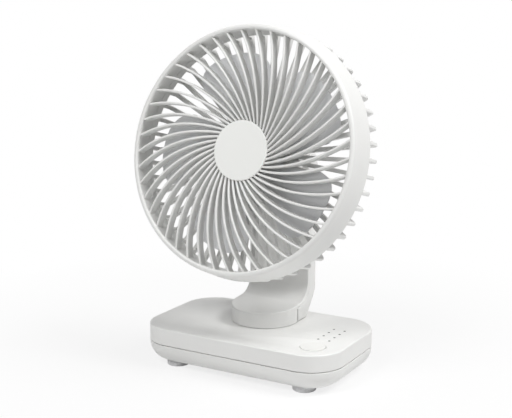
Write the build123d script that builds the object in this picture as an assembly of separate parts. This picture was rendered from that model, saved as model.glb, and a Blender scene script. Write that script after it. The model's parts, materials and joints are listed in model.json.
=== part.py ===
from build123d import *
import math
import os

# Rechargeable desk fan: a round guarded head on a scooped arm that turns on a low base.
# Lengths are in millimetres and angles in degrees. Z is up, the fan faces -Y, the floor is
# z = 0, and the arm turns about the vertical line x = 0, y = SWIVEL_Y.

# Fits and clearances
RUN_FIT = 0.05
SEAT_FIT = 0.04
PART_LINE = 0.2
LOOSE = 0.4

# How far a cut runs past the face it opens, and how far joined solids reach into each other
OVERCUT = 1.0
OVERLAP = 0.5

# Base shells
BASE_LENGTH = 150.0
BASE_WIDTH = 89.0
BASE_CORNER = 24.5
BASE_X = 2.5
BASE_BOTTOM = 3.0
LOWER_HEIGHT = 14.4
UPPER_HEIGHT = 12.0
SEAM_GAP = 0.5
SEAM_LAND = 0.9
BASE_WALL = 2.2
TOP_PLATE = 2.4
TOP_EDGE = 1.4
TONGUE = 1.2
TONGUE_RISE = 2.0

# Rubber feet, with their places measured in from the ends and sides of the base
FOOT_R = 8.0
FOOT_IN_X = 24.6
FOOT_IN_Y = 16.3
FOOT_SINK = 1.0

# Screws that join the base shells, and the posts they bite in
BASE_SCREW_X = 21.0
BASE_SCREW_IN_Y = 11.5
SCREW_R = 1.4
SCREW_HEAD_R = 2.8
SCREW_HEAD = 2.0
POST_R = 3.6
POST_BASE_R = 4.6
POST_LIFT = 5.0
SCREW_BITE = 9.0

# Ballast
BALLAST_LENGTH = 46.0
BALLAST_IN_Y = 17.5
BALLAST_HEIGHT = 4.0

# Battery
CELL_R = 9.2
CELL_LENGTH = 65.0
CELL_IN_X = 28.5
CELL_SPACE = 0.6
CELL_LIFT = 0.6
SADDLE_WIDTH = 6.0
SADDLE_Y = 20.0
SADDLE_HALF = 13.5
SADDLE_RISE = 7.0
CRADLE_RIB = 4.0
STRAP_THICK = 0.4
STRAP_WIDTH = 8.0

# Control board and what it carries, measured in from the right end and the long sides of the base
BOARD_DROP = 11.2
BOARD_THICK = 1.6
BOARD_IN_LEFT = 46.0
BOARD_IN_RIGHT = 10.0
BOARD_TAIL_IN_RIGHT = 20.0
BOARD_IN_FRONT = 11.5
BOARD_IN_STEP = 19.5
BOARD_IN_REAR = 4.1
BOARD_POST_R = 3.2
BOARD_POST_IN = 4.5
BOARD_POST_IN_REAR = 7.4
BOARD_SCREW_R = 1.1
BOARD_SCREW_HEAD_R = 2.2
BOARD_SCREW_HEAD = 1.4
BOARD_SCREW_BITE = 6.0
LED_IN_X = 24.05
LED_BEHIND_BUTTON = 16.02
LED_ROW_PITCH = 8.17
LED_PITCH = 8.02
LED_ROWS = 2
LEDS_IN_ROW = 4
LED_HOLE_R = 0.85
LED_SIZE = 2.0
LED_HEIGHT = 1.0
GUIDE_PLATE = 1.4
GUIDE_MARGIN = 3.0
GUIDE_LEG_R = 1.3
SOCKET_IN_X = 33.0
SOCKET_WIDTH = 8.9
SOCKET_HEIGHT = 3.2
SOCKET_DEPTH = 7.4
SOCKET_WALL = 0.35
SOCKET_RECESS = 0.5
SOCKET_TONGUE = 0.7

# Push button and its switch
BUTTON_IN_X = 20.0
BUTTON_IN_Y = 19.0
BUTTON_R = 8.5
BUTTON_GAP = 0.35
BUTTON_PROUD = 0.35
BUTTON_EDGE = 0.3
BUTTON_FLANGE = 1.2
BUTTON_SKIRT = 1.3
BUTTON_TRAVEL = 0.6
STEM_R = 2.0
SWITCH_SIZE = 6.2
SWITCH_HEIGHT = 3.4
PLUNGER_R = 1.6
PLUNGER_RISE = 1.2
PLUNGER_LENGTH = 2.6

# Turntable
SWIVEL_IN_Y = 32.0
SWIVEL_STOP = 45.0
COLLAR_R = 24.3
WASHER_IN = 2.8
WASHER_THICK = 1.0
WASHER_SINK = 0.6
SPINDLE_R = 9.0
SPINDLE_BORE = 6.0
SPINDLE_FLANGE_WIDTH = 8.0
SPINDLE_FLANGE = 2.5
DRUM_HEIGHT = 5.0
SPINDLE_SCREWS = 3
BOSS_WALL = 10.5
BOSS_DEPTH = 2.6
FRICTION_WIDTH = 5.0
FRICTION_THICK = 0.5
RETAINER_WIDTH = 6.0
RETAINER_THICK = 2.6
SPINDLE_TAIL = 1.2
STOP_OUT = 2.4
STOP_SIZE = 3.0
LUG_WIDTH = 6.0

# Arm, with its depths measured back from the swivel and its heights up from its foot
ARM_WALL = 2.2
ARM_SKIN = 2.2
COLLAR_HEIGHT = 10.6
SCOOP_RISE = 3.0
SCOOP_ROUND = 13.0
ARM_FRONT = 19.5
ARM_DEPTH = 11.3
ARM_SPLIT = 2.5
HEEL_BACK = 17.0
HEEL_RISE = 16.9
HEEL_ROUND = 13.0
ARM_HEIGHT = 110.7
ARM_SCREW_IN_X = 11.3
ARM_SCREW_LOW = 32.2
ARM_SCREW_HIGH = 78.2
ARM_SCREW_R = 1.2
ARM_SCREW_HEAD_R = 2.4
ARM_SCREW_HEAD = 1.3
ARM_BOSS_R = 3.2

# Tilt hinge
KNUCKLE_R = 7.5
PIN_R = 2.5
SLOT_WIDTH = 15.8
SLOT_BELOW = 6.5
TILT_WASHER_WIDTH = 3.5
TILT_WASHER = 0.8
CAP_RIM = 2.5
CAP_THICK = 1.6
CAP_SINK = 1.4
TILT_REST = 14.0
NECK_LENGTH = 17.2

# Head guard, in the head's own frame: the axis is z, the front is +z, and the inner edge of the ring is z = 0
RING_INNER_R = 80.8
LIP_WIDTH = 3.6
RING_FLARE = 3.0
RING_REAR = 16.2
RING_WALL = 1.8
LIP_RISE = 2.6
LIP_SHOULDER = 1.3
LIP_CREST = 1.5
HOOP_WALL = 1.5
HOOP_DEPTH = 10.0
RIB_COUNT = 45
RIB_PHASE = 0.8
RIB_SWEEP = 40.4
RIB_MID_SWEEP = 26.8
RIB_WIDTH = 1.7
RIB_FRONT = 2.2
RIB_START = 2.8
RIB_CROWN = 3.4
RIB_END = 0.9
RIB_DEPTH = 6.5
HUB_R = 20.4
HUB_OVERHANG = 0.8
HUB_RING_WALL = 2.4
HUB_PLATE = 2.4
HUB_CAP_FRONT = 0.9
HUB_CAP_EDGE = 0.8
HUB_CAP_SPIGOT_R = 8.0
HUB_CAP_SPIGOT = 3.2
HUB_CAP_SPIGOT_WALL = 2.0

# Screw that locks the front guard to the rear one, at the bottom of the ring
GUARD_SCREW_R = 1.0
GUARD_SCREW_HEAD_R = 2.0
GUARD_SCREW_HEAD = 0.9
GUARD_SCREW_AHEAD = 3.6
GUARD_PAD = 6.0
GUARD_PAD_RISE = 0.25

# Rear guard
RIM_WALL = 1.5
RIM_GAP = 0.15
RIM_OVERLAP = 7.0
FLANGE = 2.0
FIN_COUNT = 50
FIN_PHASE = 1.3
FIN_THICK = 2.8
FIN_STEP = 0.2
FIN_LEG = 5.2
FIN_REACH = 13.8
FIN_DEPTH = 4.5
FIN_CORNER = 2.6
FIN_INNER_CORNER = 1.2
FIN_ROOT = 2.0
CENTRE_MARGIN = 2.0
CENTRE_PLATE = 3.0

# Motor and blades
SHAFT_R = 1.5
SHAFT_COVER = 0.9
BEARING_WALL = 2.1
BEARING_LENGTH = 3.2
TUBE_WALL = 1.4
MOTOR_PLATE_MARGIN = 4.7
MOTOR_PLATE = 2.2
STATOR_R = 14.6
STATOR_YOKE = 2.6
STATOR_TEETH = 9
STATOR_STACK = 6.0
TOOTH_WIDTH = 2.2
TOOTH_TIP = 1.2
COIL_PAD = 0.9
COIL_GAP = 0.3
AIR_GAP = 0.5
MAGNET = 1.4
CUP_WALL = 1.0
CUP_DEPTH = 10.0
BLADE_HUB_WALL = 1.8
BLADE_HUB_GAP = 1.9
BLADE_HUB_DEPTH = 12.0
BLADE_HUB_EDGE = 1.5
BLADE_COUNT = 5
BLADE_PHASE = 31.0
BLADE_TIP_GAP = 11.3
BLADE_WIDE_IN = 13.5
BLADE_SHOULDER_IN = 4.0
BLADE_ROOT_HALF = 9.0
BLADE_MID_HALF = 16.5
BLADE_WIDE_HALF = 25.0
BLADE_SHOULDER_HALF = 23.3
BLADE_SPREAD = 36.0
BLADE_SWEEP = 8.0
BLADE_THICK = 1.4
BLADE_CAMBER = 2.0
BLADE_ROOT_PITCH = 28.0
BLADE_MID_PITCH = 15.0
BLADE_TIP_PITCH = 10.5
CLIP_WIDTH = 1.5
CLIP_THICK = 0.6
MOTOR_SCREW_IN = 3.5
MOTOR_SCREWS = 3

# Motor housing and neck
HOUSING_MARGIN = 5.0
HOUSING_DEPTH = 15.5
HOUSING_WALL = 2.0
HOUSING_ROUND = 9.0
HOUSING_SCREWS = 3
HOUSING_BOSS_IN = 3.0
HOUSING_BOSS_R = 3.4
HOUSING_BOSS = 8.0
HOUSING_BITE = 6.0
DRIVER_R = 17.0
DRIVER_THICK = 1.4
DRIVER_STANDOFF = 3.0
DRIVER_STANDOFF_R = 2.4
DRIVER_STAKES = 3
DRIVER_STAKE_IN = 4.0
DRIVER_STAKE_R = 1.0
DRIVER_STAKE_PROUD = 0.8

# Levels and places in the base, worked out from the sizes above
BASE_HALF_X = BASE_LENGTH / 2
BASE_HALF_Y = BASE_WIDTH / 2
SEAM_Z = BASE_BOTTOM + LOWER_HEIGHT
BASE_TOP = SEAM_Z + UPPER_HEIGHT
BOTTOM_ROUND = LOWER_HEIGHT - SEAM_LAND
PLATE_BOTTOM = BASE_TOP - TOP_PLATE
FLOOR_TOP = BASE_BOTTOM + BASE_WALL
FOOT_X = BASE_HALF_X - FOOT_IN_X
FOOT_Y = BASE_HALF_Y - FOOT_IN_Y
BASE_SCREW_Y = BASE_HALF_Y - BASE_SCREW_IN_Y
POST_BOTTOM = BASE_BOTTOM + POST_LIFT
BALLAST_WIDTH = BASE_WIDTH - 2 * BALLAST_IN_Y
CELL_X = CELL_IN_X - BASE_HALF_X
CELL_PITCH = 2 * CELL_R + CELL_SPACE
BOARD_Z = BASE_TOP - BOARD_DROP
BOARD_TOP = BOARD_Z + BOARD_THICK
BOARD_LEFT = BASE_HALF_X - BOARD_IN_LEFT
BOARD_RIGHT = BASE_HALF_X - BOARD_IN_RIGHT
BOARD_TAIL_RIGHT = BASE_HALF_X - BOARD_TAIL_IN_RIGHT
BOARD_FRONT = BOARD_IN_FRONT - BASE_HALF_Y
BOARD_STEP = BASE_HALF_Y - BOARD_IN_STEP
BOARD_REAR = BASE_HALF_Y - BOARD_IN_REAR
BUTTON_X = BASE_HALF_X - BUTTON_IN_X
BUTTON_Y = BUTTON_IN_Y - BASE_HALF_Y
LED_X = BASE_HALF_X - LED_IN_X
LED_Y = BUTTON_Y + LED_BEHIND_BUTTON
SOCKET_X = BASE_HALF_X - SOCKET_IN_X

# Levels and places in the turntable and the arm
SWIVEL_Y = BASE_HALF_Y - SWIVEL_IN_Y
WASHER_R = COLLAR_R - WASHER_IN
WASHER_TOP = BASE_TOP - WASHER_SINK + WASHER_THICK
SPINDLE_FLANGE_R = SPINDLE_R + SPINDLE_FLANGE_WIDTH
SPINDLE_SCREW_PITCH_R = (SPINDLE_R + SPINDLE_FLANGE_R) / 2
BOSS_R = SPINDLE_R + BOSS_WALL
BOSS_BOTTOM = PLATE_BOTTOM - BOSS_DEPTH
FRICTION_R = SPINDLE_R + FRICTION_WIDTH
RETAINER_R = SPINDLE_R + RETAINER_WIDTH
RETAINER_TOP = BOSS_BOTTOM - FRICTION_THICK
RETAINER_BOTTOM = RETAINER_TOP - RETAINER_THICK
STOP_R = RETAINER_R + STOP_OUT
ARM_FOOT = WASHER_TOP
ARM_FLOOR = ARM_FOOT + ARM_WALL
ARM_HALF = COLLAR_R
RIM_Z = ARM_FOOT + COLLAR_HEIGHT
SCOOP_Z = RIM_Z + SCOOP_RISE
ARM_FRONT_Y = SWIVEL_Y + ARM_FRONT
ARM_REAR_Y = ARM_FRONT_Y + ARM_DEPTH
ARM_SPLIT_Y = SWIVEL_Y + ARM_SPLIT
HEEL_Y = SWIVEL_Y + HEEL_BACK
HEEL_Z = ARM_FOOT + HEEL_RISE
PIVOT_Y = (ARM_FRONT_Y + ARM_REAR_Y) / 2
PIVOT_Z = ARM_FOOT + ARM_HEIGHT
ARM_SCREW_X = ARM_HALF - ARM_SCREW_IN_X
ARM_SCREW_ROWS = (ARM_FOOT + ARM_SCREW_LOW, ARM_FOOT + ARM_SCREW_HIGH)
SLOT_DEPTH = KNUCKLE_R + SLOT_BELOW
FRONT_COVER_TOP = PIVOT_Z - SLOT_DEPTH - ARM_WALL
LUG_HALF = SLOT_WIDTH / 2 - TILT_WASHER
TILT_WASHER_R = PIN_R + TILT_WASHER_WIDTH
CAP_R = KNUCKLE_R - CAP_RIM

# Distances in the head's frame
RING_FRONT_R = RING_INNER_R + LIP_WIDTH
RING_REAR_R = RING_FRONT_R + RING_FLARE
HOOP_OUTER_R = RING_INNER_R + HOOP_WALL
HUB_RING_R = HUB_R - HUB_OVERHANG
RIB_MID_R = (RING_INNER_R + HUB_RING_R) / 2
RIM_R = HOOP_OUTER_R + RIM_GAP
FLANGE_R = RING_REAR_R - RING_WALL - LOOSE
FIN_OUTER_R = RING_REAR_R - FIN_STEP
FIN_INNER_R = FIN_OUTER_R - FIN_LEG
FIN_BACK = RING_REAR + FIN_REACH
GUARD_SCREW_BACK = RING_REAR - GUARD_SCREW_AHEAD
BAND_SLOPE = RING_FLARE / (LIP_SHOULDER + RING_REAR)
GUARD_SEAT_R = RING_REAR_R - BAND_SLOPE * GUARD_SCREW_AHEAD - GUARD_SCREW_HEAD - PART_LINE
GUARD_PAD_R = RIM_R + RIM_WALL + GUARD_PAD_RISE
CENTRE_FRONT = FIN_BACK - CENTRE_PLATE
MOTOR_PLATE_FRONT = CENTRE_FRONT - MOTOR_PLATE
BEARING_R = SHAFT_R + BEARING_WALL
TUBE_R = BEARING_R + TUBE_WALL
STATOR_YOKE_R = TUBE_R + STATOR_YOKE
CUP_INNER_R = STATOR_R + AIR_GAP + MAGNET
CUP_R = CUP_INNER_R + CUP_WALL
BLADE_HUB_R = CUP_R + BLADE_HUB_WALL
BLADE_HUB_FRONT = RIB_FRONT + RIB_DEPTH + BLADE_HUB_GAP
SHAFT_FRONT = BLADE_HUB_FRONT + SHAFT_COVER
BLADE_TIP_R = RING_INNER_R - BLADE_TIP_GAP
BLADE_WIDE_R = BLADE_TIP_R - BLADE_WIDE_IN
BLADE_MID_R = (BLADE_HUB_R + BLADE_WIDE_R) / 2
BLADE_SHOULDER_R = BLADE_TIP_R - BLADE_SHOULDER_IN
CLIP_R = SHAFT_R + CLIP_WIDTH
MOTOR_PLATE_R = BLADE_HUB_R + MOTOR_PLATE_MARGIN
MOTOR_SCREW_PITCH_R = MOTOR_PLATE_R - MOTOR_SCREW_IN
HOUSING_R = MOTOR_PLATE_R + HOUSING_MARGIN
HOUSING_SCREW_PITCH_R = HOUSING_R - HOUSING_WALL - HOUSING_BOSS_IN
CENTRE_R = HOUSING_R + CENTRE_MARGIN
CUP_FRONT = BLADE_HUB_FRONT + BLADE_HUB_WALL
TUBE_FRONT = CUP_FRONT + CUP_WALL + LOOSE
STATOR_FRONT = TUBE_FRONT + 2 * COIL_PAD
HOUSING_FRONT = FIN_BACK
HOUSING_BACK = HOUSING_FRONT + HOUSING_DEPTH
DRIVER_BACK = HOUSING_BACK - HOUSING_WALL - DRIVER_STANDOFF
DRIVER_STAKE_PITCH_R = DRIVER_R - DRIVER_STAKE_IN

# The head's place and tilt on the arm
NECK_REACH = HOUSING_BACK + NECK_LENGTH
HEAD_Y = PIVOT_Y - NECK_REACH * math.cos(math.radians(TILT_REST))
HEAD_Z = PIVOT_Z + NECK_REACH * math.sin(math.radians(TILT_REST))
HEAD = Plane(
    origin=(0, HEAD_Y, HEAD_Z),
    x_dir=(1, 0, 0),
    z_dir=(0, -math.cos(math.radians(TILT_REST)), math.sin(math.radians(TILT_REST))),
)


# Simple solids
def disc(radius, z0, z1, x=0.0, y=0.0):
    ends = (Align.CENTER, Align.CENTER, Align.MIN)
    return Pos(x, y, z0) * Cylinder(radius, z1 - z0, align=ends)


def tube(outer, inner, z0, z1, x=0.0, y=0.0):
    return disc(outer, z0, z1, x, y) - disc(inner, z0 - OVERCUT, z1 + OVERCUT, x, y)


def block(x0, x1, y0, y1, z0, z1):
    middle = Pos((x0 + x1) / 2, (y0 + y1) / 2, (z0 + z1) / 2)
    return middle * Box(x1 - x0, y1 - y0, z1 - z0)


def ring_places(count, radius, phase=0.0):
    turns = [math.radians(phase + 360.0 * i / count) for i in range(count)]
    return [(radius * math.cos(a), radius * math.sin(a)) for a in turns]


def polygon(points, rounds):
    """Closed outline through the points, with a radius at each point that rounds names."""
    face = make_face(Polyline(*points, close=True))
    for index, radius in rounds.items():
        corner = Vector(*points[index])
        vertex = face.vertices().sort_by_distance(corner)[0]
        face = fillet(vertex, radius)
    return face


def screw(x, y, z_head, shank_r, head_r, head, bite):
    """Screw with its head's seat at z_head, the head above it and the shank below."""
    return disc(head_r, z_head, z_head + head, x, y) + disc(shank_r, z_head - bite, z_head, x, y)


def save(name, part):
    export_step(part, "parts/" + name + ".step")


# Base shells
def plan(inset, z0, z1):
    """The base's rounded plan, drawn in by inset, from z0 up to z1."""
    outline = RectangleRounded(BASE_LENGTH - 2 * inset, BASE_WIDTH - 2 * inset, BASE_CORNER - inset)
    return Pos(BASE_X, 0, z0) * extrude(outline, z1 - z0)


def corners(x, y):
    return [(BASE_X + sx * x, sy * y) for sx in (-1, 1) for sy in (-1, 1)]


def led_places():
    columns = [BASE_X + LED_X + LED_ROW_PITCH * i for i in range(LED_ROWS)]
    return [(x, LED_Y + LED_PITCH * j) for x in columns for j in range(LEDS_IN_ROW)]


def board_screw_places():
    left = BASE_X + BOARD_LEFT + BOARD_POST_IN
    right = BASE_X + BOARD_RIGHT - BOARD_POST_IN
    return [
        (left, BOARD_FRONT + BOARD_POST_IN),
        (left, BOARD_REAR - BOARD_POST_IN_REAR),
        (right, BOARD_STEP - BOARD_POST_IN),
    ]


def socket_outline(grow):
    """Rounded outline of the charging socket in the rear wall, seen from behind."""
    outline = SlotOverall(SOCKET_WIDTH + 2 * grow, SOCKET_HEIGHT + 2 * grow)
    middle = (BASE_X + SOCKET_X, BASE_WIDTH / 2 - SOCKET_RECESS, BOARD_TOP + SOCKET_HEIGHT / 2)
    return Plane(origin=middle, x_dir=(-1, 0, 0), z_dir=(0, 1, 0)) * outline


def turn_stop(side_sign):
    """Block that ends the turn to one side, just beyond the lug's face there."""
    near = side_sign * (LUG_WIDTH / 2 + LOOSE)
    far = near + side_sign * STOP_SIZE
    half = STOP_SIZE / 2
    left = min(near, far)
    top = BOSS_BOTTOM + OVERLAP
    stop = block(left, left + STOP_SIZE, -STOP_R - half, -STOP_R + half, RETAINER_BOTTOM, top)
    return Pos(0, SWIVEL_Y, 0) * Rot(0, 0, side_sign * SWIVEL_STOP) * stop


def base_top_cover():
    shell = plan(0, SEAM_Z + SEAM_GAP / 2, BASE_TOP)
    shell = fillet(shell.faces().sort_by(Axis.Z)[-1].edges(), TOP_EDGE)
    shell -= plan(BASE_WALL, SEAM_Z, PLATE_BOTTOM)
    inside_plate = BASE_TOP - TOP_PLATE / 2
    shell += disc(BOSS_R, BOSS_BOTTOM, inside_plate, 0, SWIVEL_Y)
    shell += turn_stop(-1)
    shell += turn_stop(1)
    for x, y in corners(BASE_SCREW_X, BASE_SCREW_Y):
        shell += disc(POST_R, POST_BOTTOM, inside_plate, x, y)
        shell -= disc(SCREW_R + SEAT_FIT, POST_BOTTOM - OVERCUT, POST_BOTTOM + SCREW_BITE + OVERCUT, x, y)
    shell -= disc(WASHER_R + LOOSE, BASE_TOP - WASHER_SINK, BASE_TOP + OVERCUT, 0, SWIVEL_Y)
    shell -= disc(SPINDLE_R + RUN_FIT, BOSS_BOTTOM - OVERCUT, BASE_TOP + OVERCUT, 0, SWIVEL_Y)
    through = (PLATE_BOTTOM - OVERCUT, BASE_TOP + OVERCUT)
    shell -= disc(BUTTON_R + BUTTON_GAP, *through, BASE_X + BUTTON_X, BUTTON_Y)
    for x, y in led_places():
        shell -= disc(LED_HOLE_R, *through, x, y)
    shell -= extrude(socket_outline(PART_LINE), BASE_WALL + SOCKET_RECESS + OVERCUT, both=True)
    return shell


def base_bottom_cover():
    top = SEAM_Z - SEAM_GAP / 2
    tray = plan(0, BASE_BOTTOM, top)
    tray = fillet(tray.faces().sort_by(Axis.Z)[0].edges(), BOTTOM_ROUND)
    hollow = plan(BASE_WALL, FLOOR_TOP, top + OVERCUT)
    tray -= fillet(hollow.faces().sort_by(Axis.Z)[0].edges(), BOTTOM_ROUND - BASE_WALL)
    inset = BASE_WALL + PART_LINE
    root = top - TONGUE_RISE - 2 * TONGUE
    rise = SEAM_Z + TONGUE_RISE
    tray += plan(inset, root, rise) - plan(inset + TONGUE, root - OVERCUT, rise + OVERCUT)
    in_floor = BASE_BOTTOM + BASE_WALL / 2
    for x, y in corners(BASE_SCREW_X, BASE_SCREW_Y):
        tray += disc(POST_BASE_R, in_floor, POST_BOTTOM, x, y)
        tray -= disc(SCREW_HEAD_R + LOOSE, BASE_BOTTOM - OVERCUT, POST_BOTTOM - SCREW_HEAD, x, y)
        tray -= disc(SCREW_R + LOOSE / 2, BASE_BOTTOM - OVERCUT, POST_BOTTOM + OVERCUT, x, y)
    for x, y in board_screw_places():
        tray += disc(BOARD_POST_R, in_floor, BOARD_Z, x, y)
        hole_end = BOARD_TOP - BOARD_SCREW_BITE - OVERCUT
        tray -= disc(BOARD_SCREW_R + SEAT_FIT, hole_end, BOARD_Z + OVERCUT, x, y)
    for x, y in corners(FOOT_X, FOOT_Y):
        tray -= disc(FOOT_R + SEAT_FIT, 0, BASE_BOTTOM + FOOT_SINK, x, y)
    return tray


def rubber_feet():
    return Part() + [disc(FOOT_R, 0, BASE_BOTTOM + FOOT_SINK, x, y) for x, y in corners(FOOT_X, FOOT_Y)]


def base_screws():
    seat = POST_BOTTOM - SCREW_HEAD
    shank_end = POST_BOTTOM + SCREW_BITE
    places = corners(BASE_SCREW_X, BASE_SCREW_Y)
    heads = [disc(SCREW_HEAD_R, seat - SCREW_HEAD, seat, x, y) for x, y in places]
    shanks = [disc(SCREW_R, seat - OVERLAP, shank_end, x, y) for x, y in places]
    return Part() + [head + shank for head, shank in zip(heads, shanks)]


def ballast_plate():
    half_x = BALLAST_LENGTH / 2
    half_y = BALLAST_WIDTH / 2
    return block(BASE_X - half_x, BASE_X + half_x, -half_y, half_y, FLOOR_TOP, FLOOR_TOP + BALLAST_HEIGHT)


def cell_axes():
    z = FLOOR_TOP + CELL_LIFT + CELL_R
    return [(BASE_X + CELL_X + side * CELL_PITCH / 2, z) for side in (-1, 1)]


def cell_at(x, z, radius, length):
    return Pos(x, 0, z) * Rot(90, 0, 0) * Cylinder(radius, length)


def battery_cells():
    return Part() + [cell_at(x, z, CELL_R, CELL_LENGTH) for x, z in cell_axes()]


def battery_cradle():
    middle = BASE_X + CELL_X
    left = middle - CRADLE_RIB / 2
    rib = block(left, left + CRADLE_RIB, -SADDLE_Y, SADDLE_Y, FLOOR_TOP, FLOOR_TOP + SADDLE_RISE / 2)
    for side in (-1, 1):
        y = side * SADDLE_Y
        left = middle - SADDLE_HALF
        right = middle + SADDLE_HALF
        half = SADDLE_WIDTH / 2
        rib += block(left, right, y - half, y + half, FLOOR_TOP, FLOOR_TOP + SADDLE_RISE)
    for x, z in cell_axes():
        rib -= cell_at(x, z, CELL_R + SEAT_FIT, CELL_LENGTH)
    return rib


def cell_straps():
    (left, z), (right, _) = cell_axes()
    half = STRAP_WIDTH / 2
    end = CELL_LENGTH / 2
    spans = ((-end - STRAP_THICK, -end), (end, end + STRAP_THICK))
    return Part() + [block(left - half, right + half, y0, y1, z - half, z + half) for y0, y1 in spans]


# Control board and indicator lights
def control_board():
    left = BASE_X + BOARD_LEFT
    board = block(left, BASE_X + BOARD_RIGHT, BOARD_FRONT, BOARD_STEP, BOARD_Z, BOARD_TOP)
    board += block(left, BASE_X + BOARD_TAIL_RIGHT, BOARD_STEP - OVERLAP, BOARD_REAR, BOARD_Z, BOARD_TOP)
    for x, y in board_screw_places():
        board -= disc(BOARD_SCREW_R + SEAT_FIT, BOARD_Z - OVERCUT, BOARD_TOP + OVERCUT, x, y)
    return board


def board_screws():
    sizes = (BOARD_SCREW_R, BOARD_SCREW_HEAD_R, BOARD_SCREW_HEAD, BOARD_SCREW_BITE)
    return Part() + [screw(x, y, BOARD_TOP, *sizes) for x, y in board_screw_places()]


def indicator_leds():
    half = LED_SIZE / 2
    lamps = []
    for x, y in led_places():
        lamps.append(block(x - half, x + half, y - half, y + half, BOARD_TOP, BOARD_TOP + LED_HEIGHT))
    return Part() + lamps


def light_guide():
    places = led_places()
    left = min(x for x, _ in places) - GUIDE_MARGIN
    right = max(x for x, _ in places) + GUIDE_MARGIN
    front = min(y for _, y in places) - GUIDE_MARGIN
    rear = max(y for _, y in places) + GUIDE_MARGIN
    guide = block(left, right, front, rear, PLATE_BOTTOM - GUIDE_PLATE, PLATE_BOTTOM)
    for x, y in places:
        guide += disc(GUIDE_LEG_R, BOARD_TOP + LED_HEIGHT, PLATE_BOTTOM - GUIDE_PLATE / 2, x, y)
        guide += disc(LED_HOLE_R - SEAT_FIT, PLATE_BOTTOM - GUIDE_PLATE / 2, BASE_TOP - SEAT_FIT, x, y)
    return guide


def charge_socket():
    shell = extrude(socket_outline(0), -SOCKET_DEPTH)
    bore = extrude(socket_outline(-SOCKET_WALL), -(SOCKET_DEPTH - SOCKET_WALL))
    middle = BASE_X + SOCKET_X
    mouth = BASE_WIDTH / 2 - SOCKET_RECESS
    height = BOARD_TOP + SOCKET_HEIGHT / 2
    half = SOCKET_WIDTH / 2 - SOCKET_HEIGHT / 2
    edge = SOCKET_TONGUE / 2
    front = mouth - SOCKET_DEPTH
    tongue = block(middle - half, middle + half, front, mouth - SOCKET_RECESS, height - edge, height + edge)
    return shell - bore + tongue


# Push button and its switch
def tact_switch():
    x = BASE_X + BUTTON_X
    half = SWITCH_SIZE / 2
    top = BOARD_TOP + SWITCH_HEIGHT
    body = block(x - half, x + half, BUTTON_Y - half, BUTTON_Y + half, BOARD_TOP, top)
    well = top + PLUNGER_RISE - PLUNGER_LENGTH - BUTTON_TRAVEL - LOOSE
    return body - disc(PLUNGER_R + BUTTON_GAP, well, top + OVERCUT, x, BUTTON_Y)


def switch_plunger():
    top = BOARD_TOP + SWITCH_HEIGHT + PLUNGER_RISE
    return disc(PLUNGER_R, top - PLUNGER_LENGTH, top, BASE_X + BUTTON_X, BUTTON_Y)


def power_button():
    x = BASE_X + BUTTON_X
    skirt_top = PLATE_BOTTOM - PART_LINE
    skirt_bottom = skirt_top - BUTTON_SKIRT
    cap = disc(BUTTON_R, skirt_bottom, BASE_TOP + BUTTON_PROUD, x, BUTTON_Y)
    cap = fillet(cap.faces().sort_by(Axis.Z)[-1].edges(), BUTTON_EDGE)
    cap += disc(BUTTON_R + BUTTON_FLANGE, skirt_bottom, skirt_top, x, BUTTON_Y)
    stem_bottom = BOARD_TOP + SWITCH_HEIGHT + PLUNGER_RISE
    return cap + disc(STEM_R, stem_bottom, skirt_bottom + OVERLAP, x, BUTTON_Y)


# Turntable
def thrust_washer():
    return tube(WASHER_R, SPINDLE_R + LOOSE, BASE_TOP - WASHER_SINK, WASHER_TOP, 0, SWIVEL_Y)


def spindle_screw_places():
    places = ring_places(SPINDLE_SCREWS, SPINDLE_SCREW_PITCH_R, 270)
    return [(x, SWIVEL_Y + y) for x, y in places]


def swivel_spindle():
    spindle = disc(SPINDLE_R, RETAINER_BOTTOM - SPINDLE_TAIL, ARM_FLOOR + SPINDLE_FLANGE, 0, SWIVEL_Y)
    spindle += disc(SPINDLE_FLANGE_R, ARM_FLOOR, ARM_FLOOR + SPINDLE_FLANGE, 0, SWIVEL_Y)
    spindle -= disc(SPINDLE_BORE, 0, PIVOT_Z, 0, SWIVEL_Y)
    for x, y in spindle_screw_places():
        flange_top = ARM_FLOOR + SPINDLE_FLANGE
        spindle -= disc(BOARD_SCREW_R + SEAT_FIT, ARM_FLOOR - OVERCUT, flange_top + OVERCUT, x, y)
    return spindle


def spindle_screws():
    bite = SPINDLE_FLANGE + ARM_WALL - LOOSE
    sizes = (BOARD_SCREW_R, BOARD_SCREW_HEAD_R, BOARD_SCREW_HEAD, bite)
    top = ARM_FLOOR + SPINDLE_FLANGE
    return Part() + [screw(x, y, top, *sizes) for x, y in spindle_screw_places()]


def friction_washer():
    return tube(FRICTION_R, SPINDLE_R + SEAT_FIT, RETAINER_TOP, BOSS_BOTTOM, 0, SWIVEL_Y)


def spindle_retainer():
    ring = disc(RETAINER_R, RETAINER_BOTTOM, RETAINER_TOP, 0, SWIVEL_Y)
    tip = SWIVEL_Y - STOP_R - STOP_SIZE / 2
    half = LUG_WIDTH / 2
    ring += block(-half, half, tip, SWIVEL_Y - SPINDLE_R, RETAINER_BOTTOM, RETAINER_TOP)
    return ring - disc(SPINDLE_R + SEAT_FIT, RETAINER_BOTTOM - OVERCUT, RETAINER_TOP + OVERCUT, 0, SWIVEL_Y)


# Arm
def side(points, rounds, half_width):
    """Solid of a side outline, given as (y, z) points, centred on x = 0."""
    return extrude(Plane.YZ * polygon(points, rounds), half_width, both=True)


def arm_plan(inset):
    """Plan of the arm: the round collar in front and the straight sides behind."""
    radius = COLLAR_R - inset
    reach = ARM_REAR_Y + KNUCKLE_R
    outline = Pos(0, SWIVEL_Y) * Circle(radius)
    outline += Pos(0, (SWIVEL_Y + reach) / 2) * Rectangle(2 * radius, reach - SWIVEL_Y)
    return extrude(outline, PIVOT_Z + 2 * KNUCKLE_R)


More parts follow.
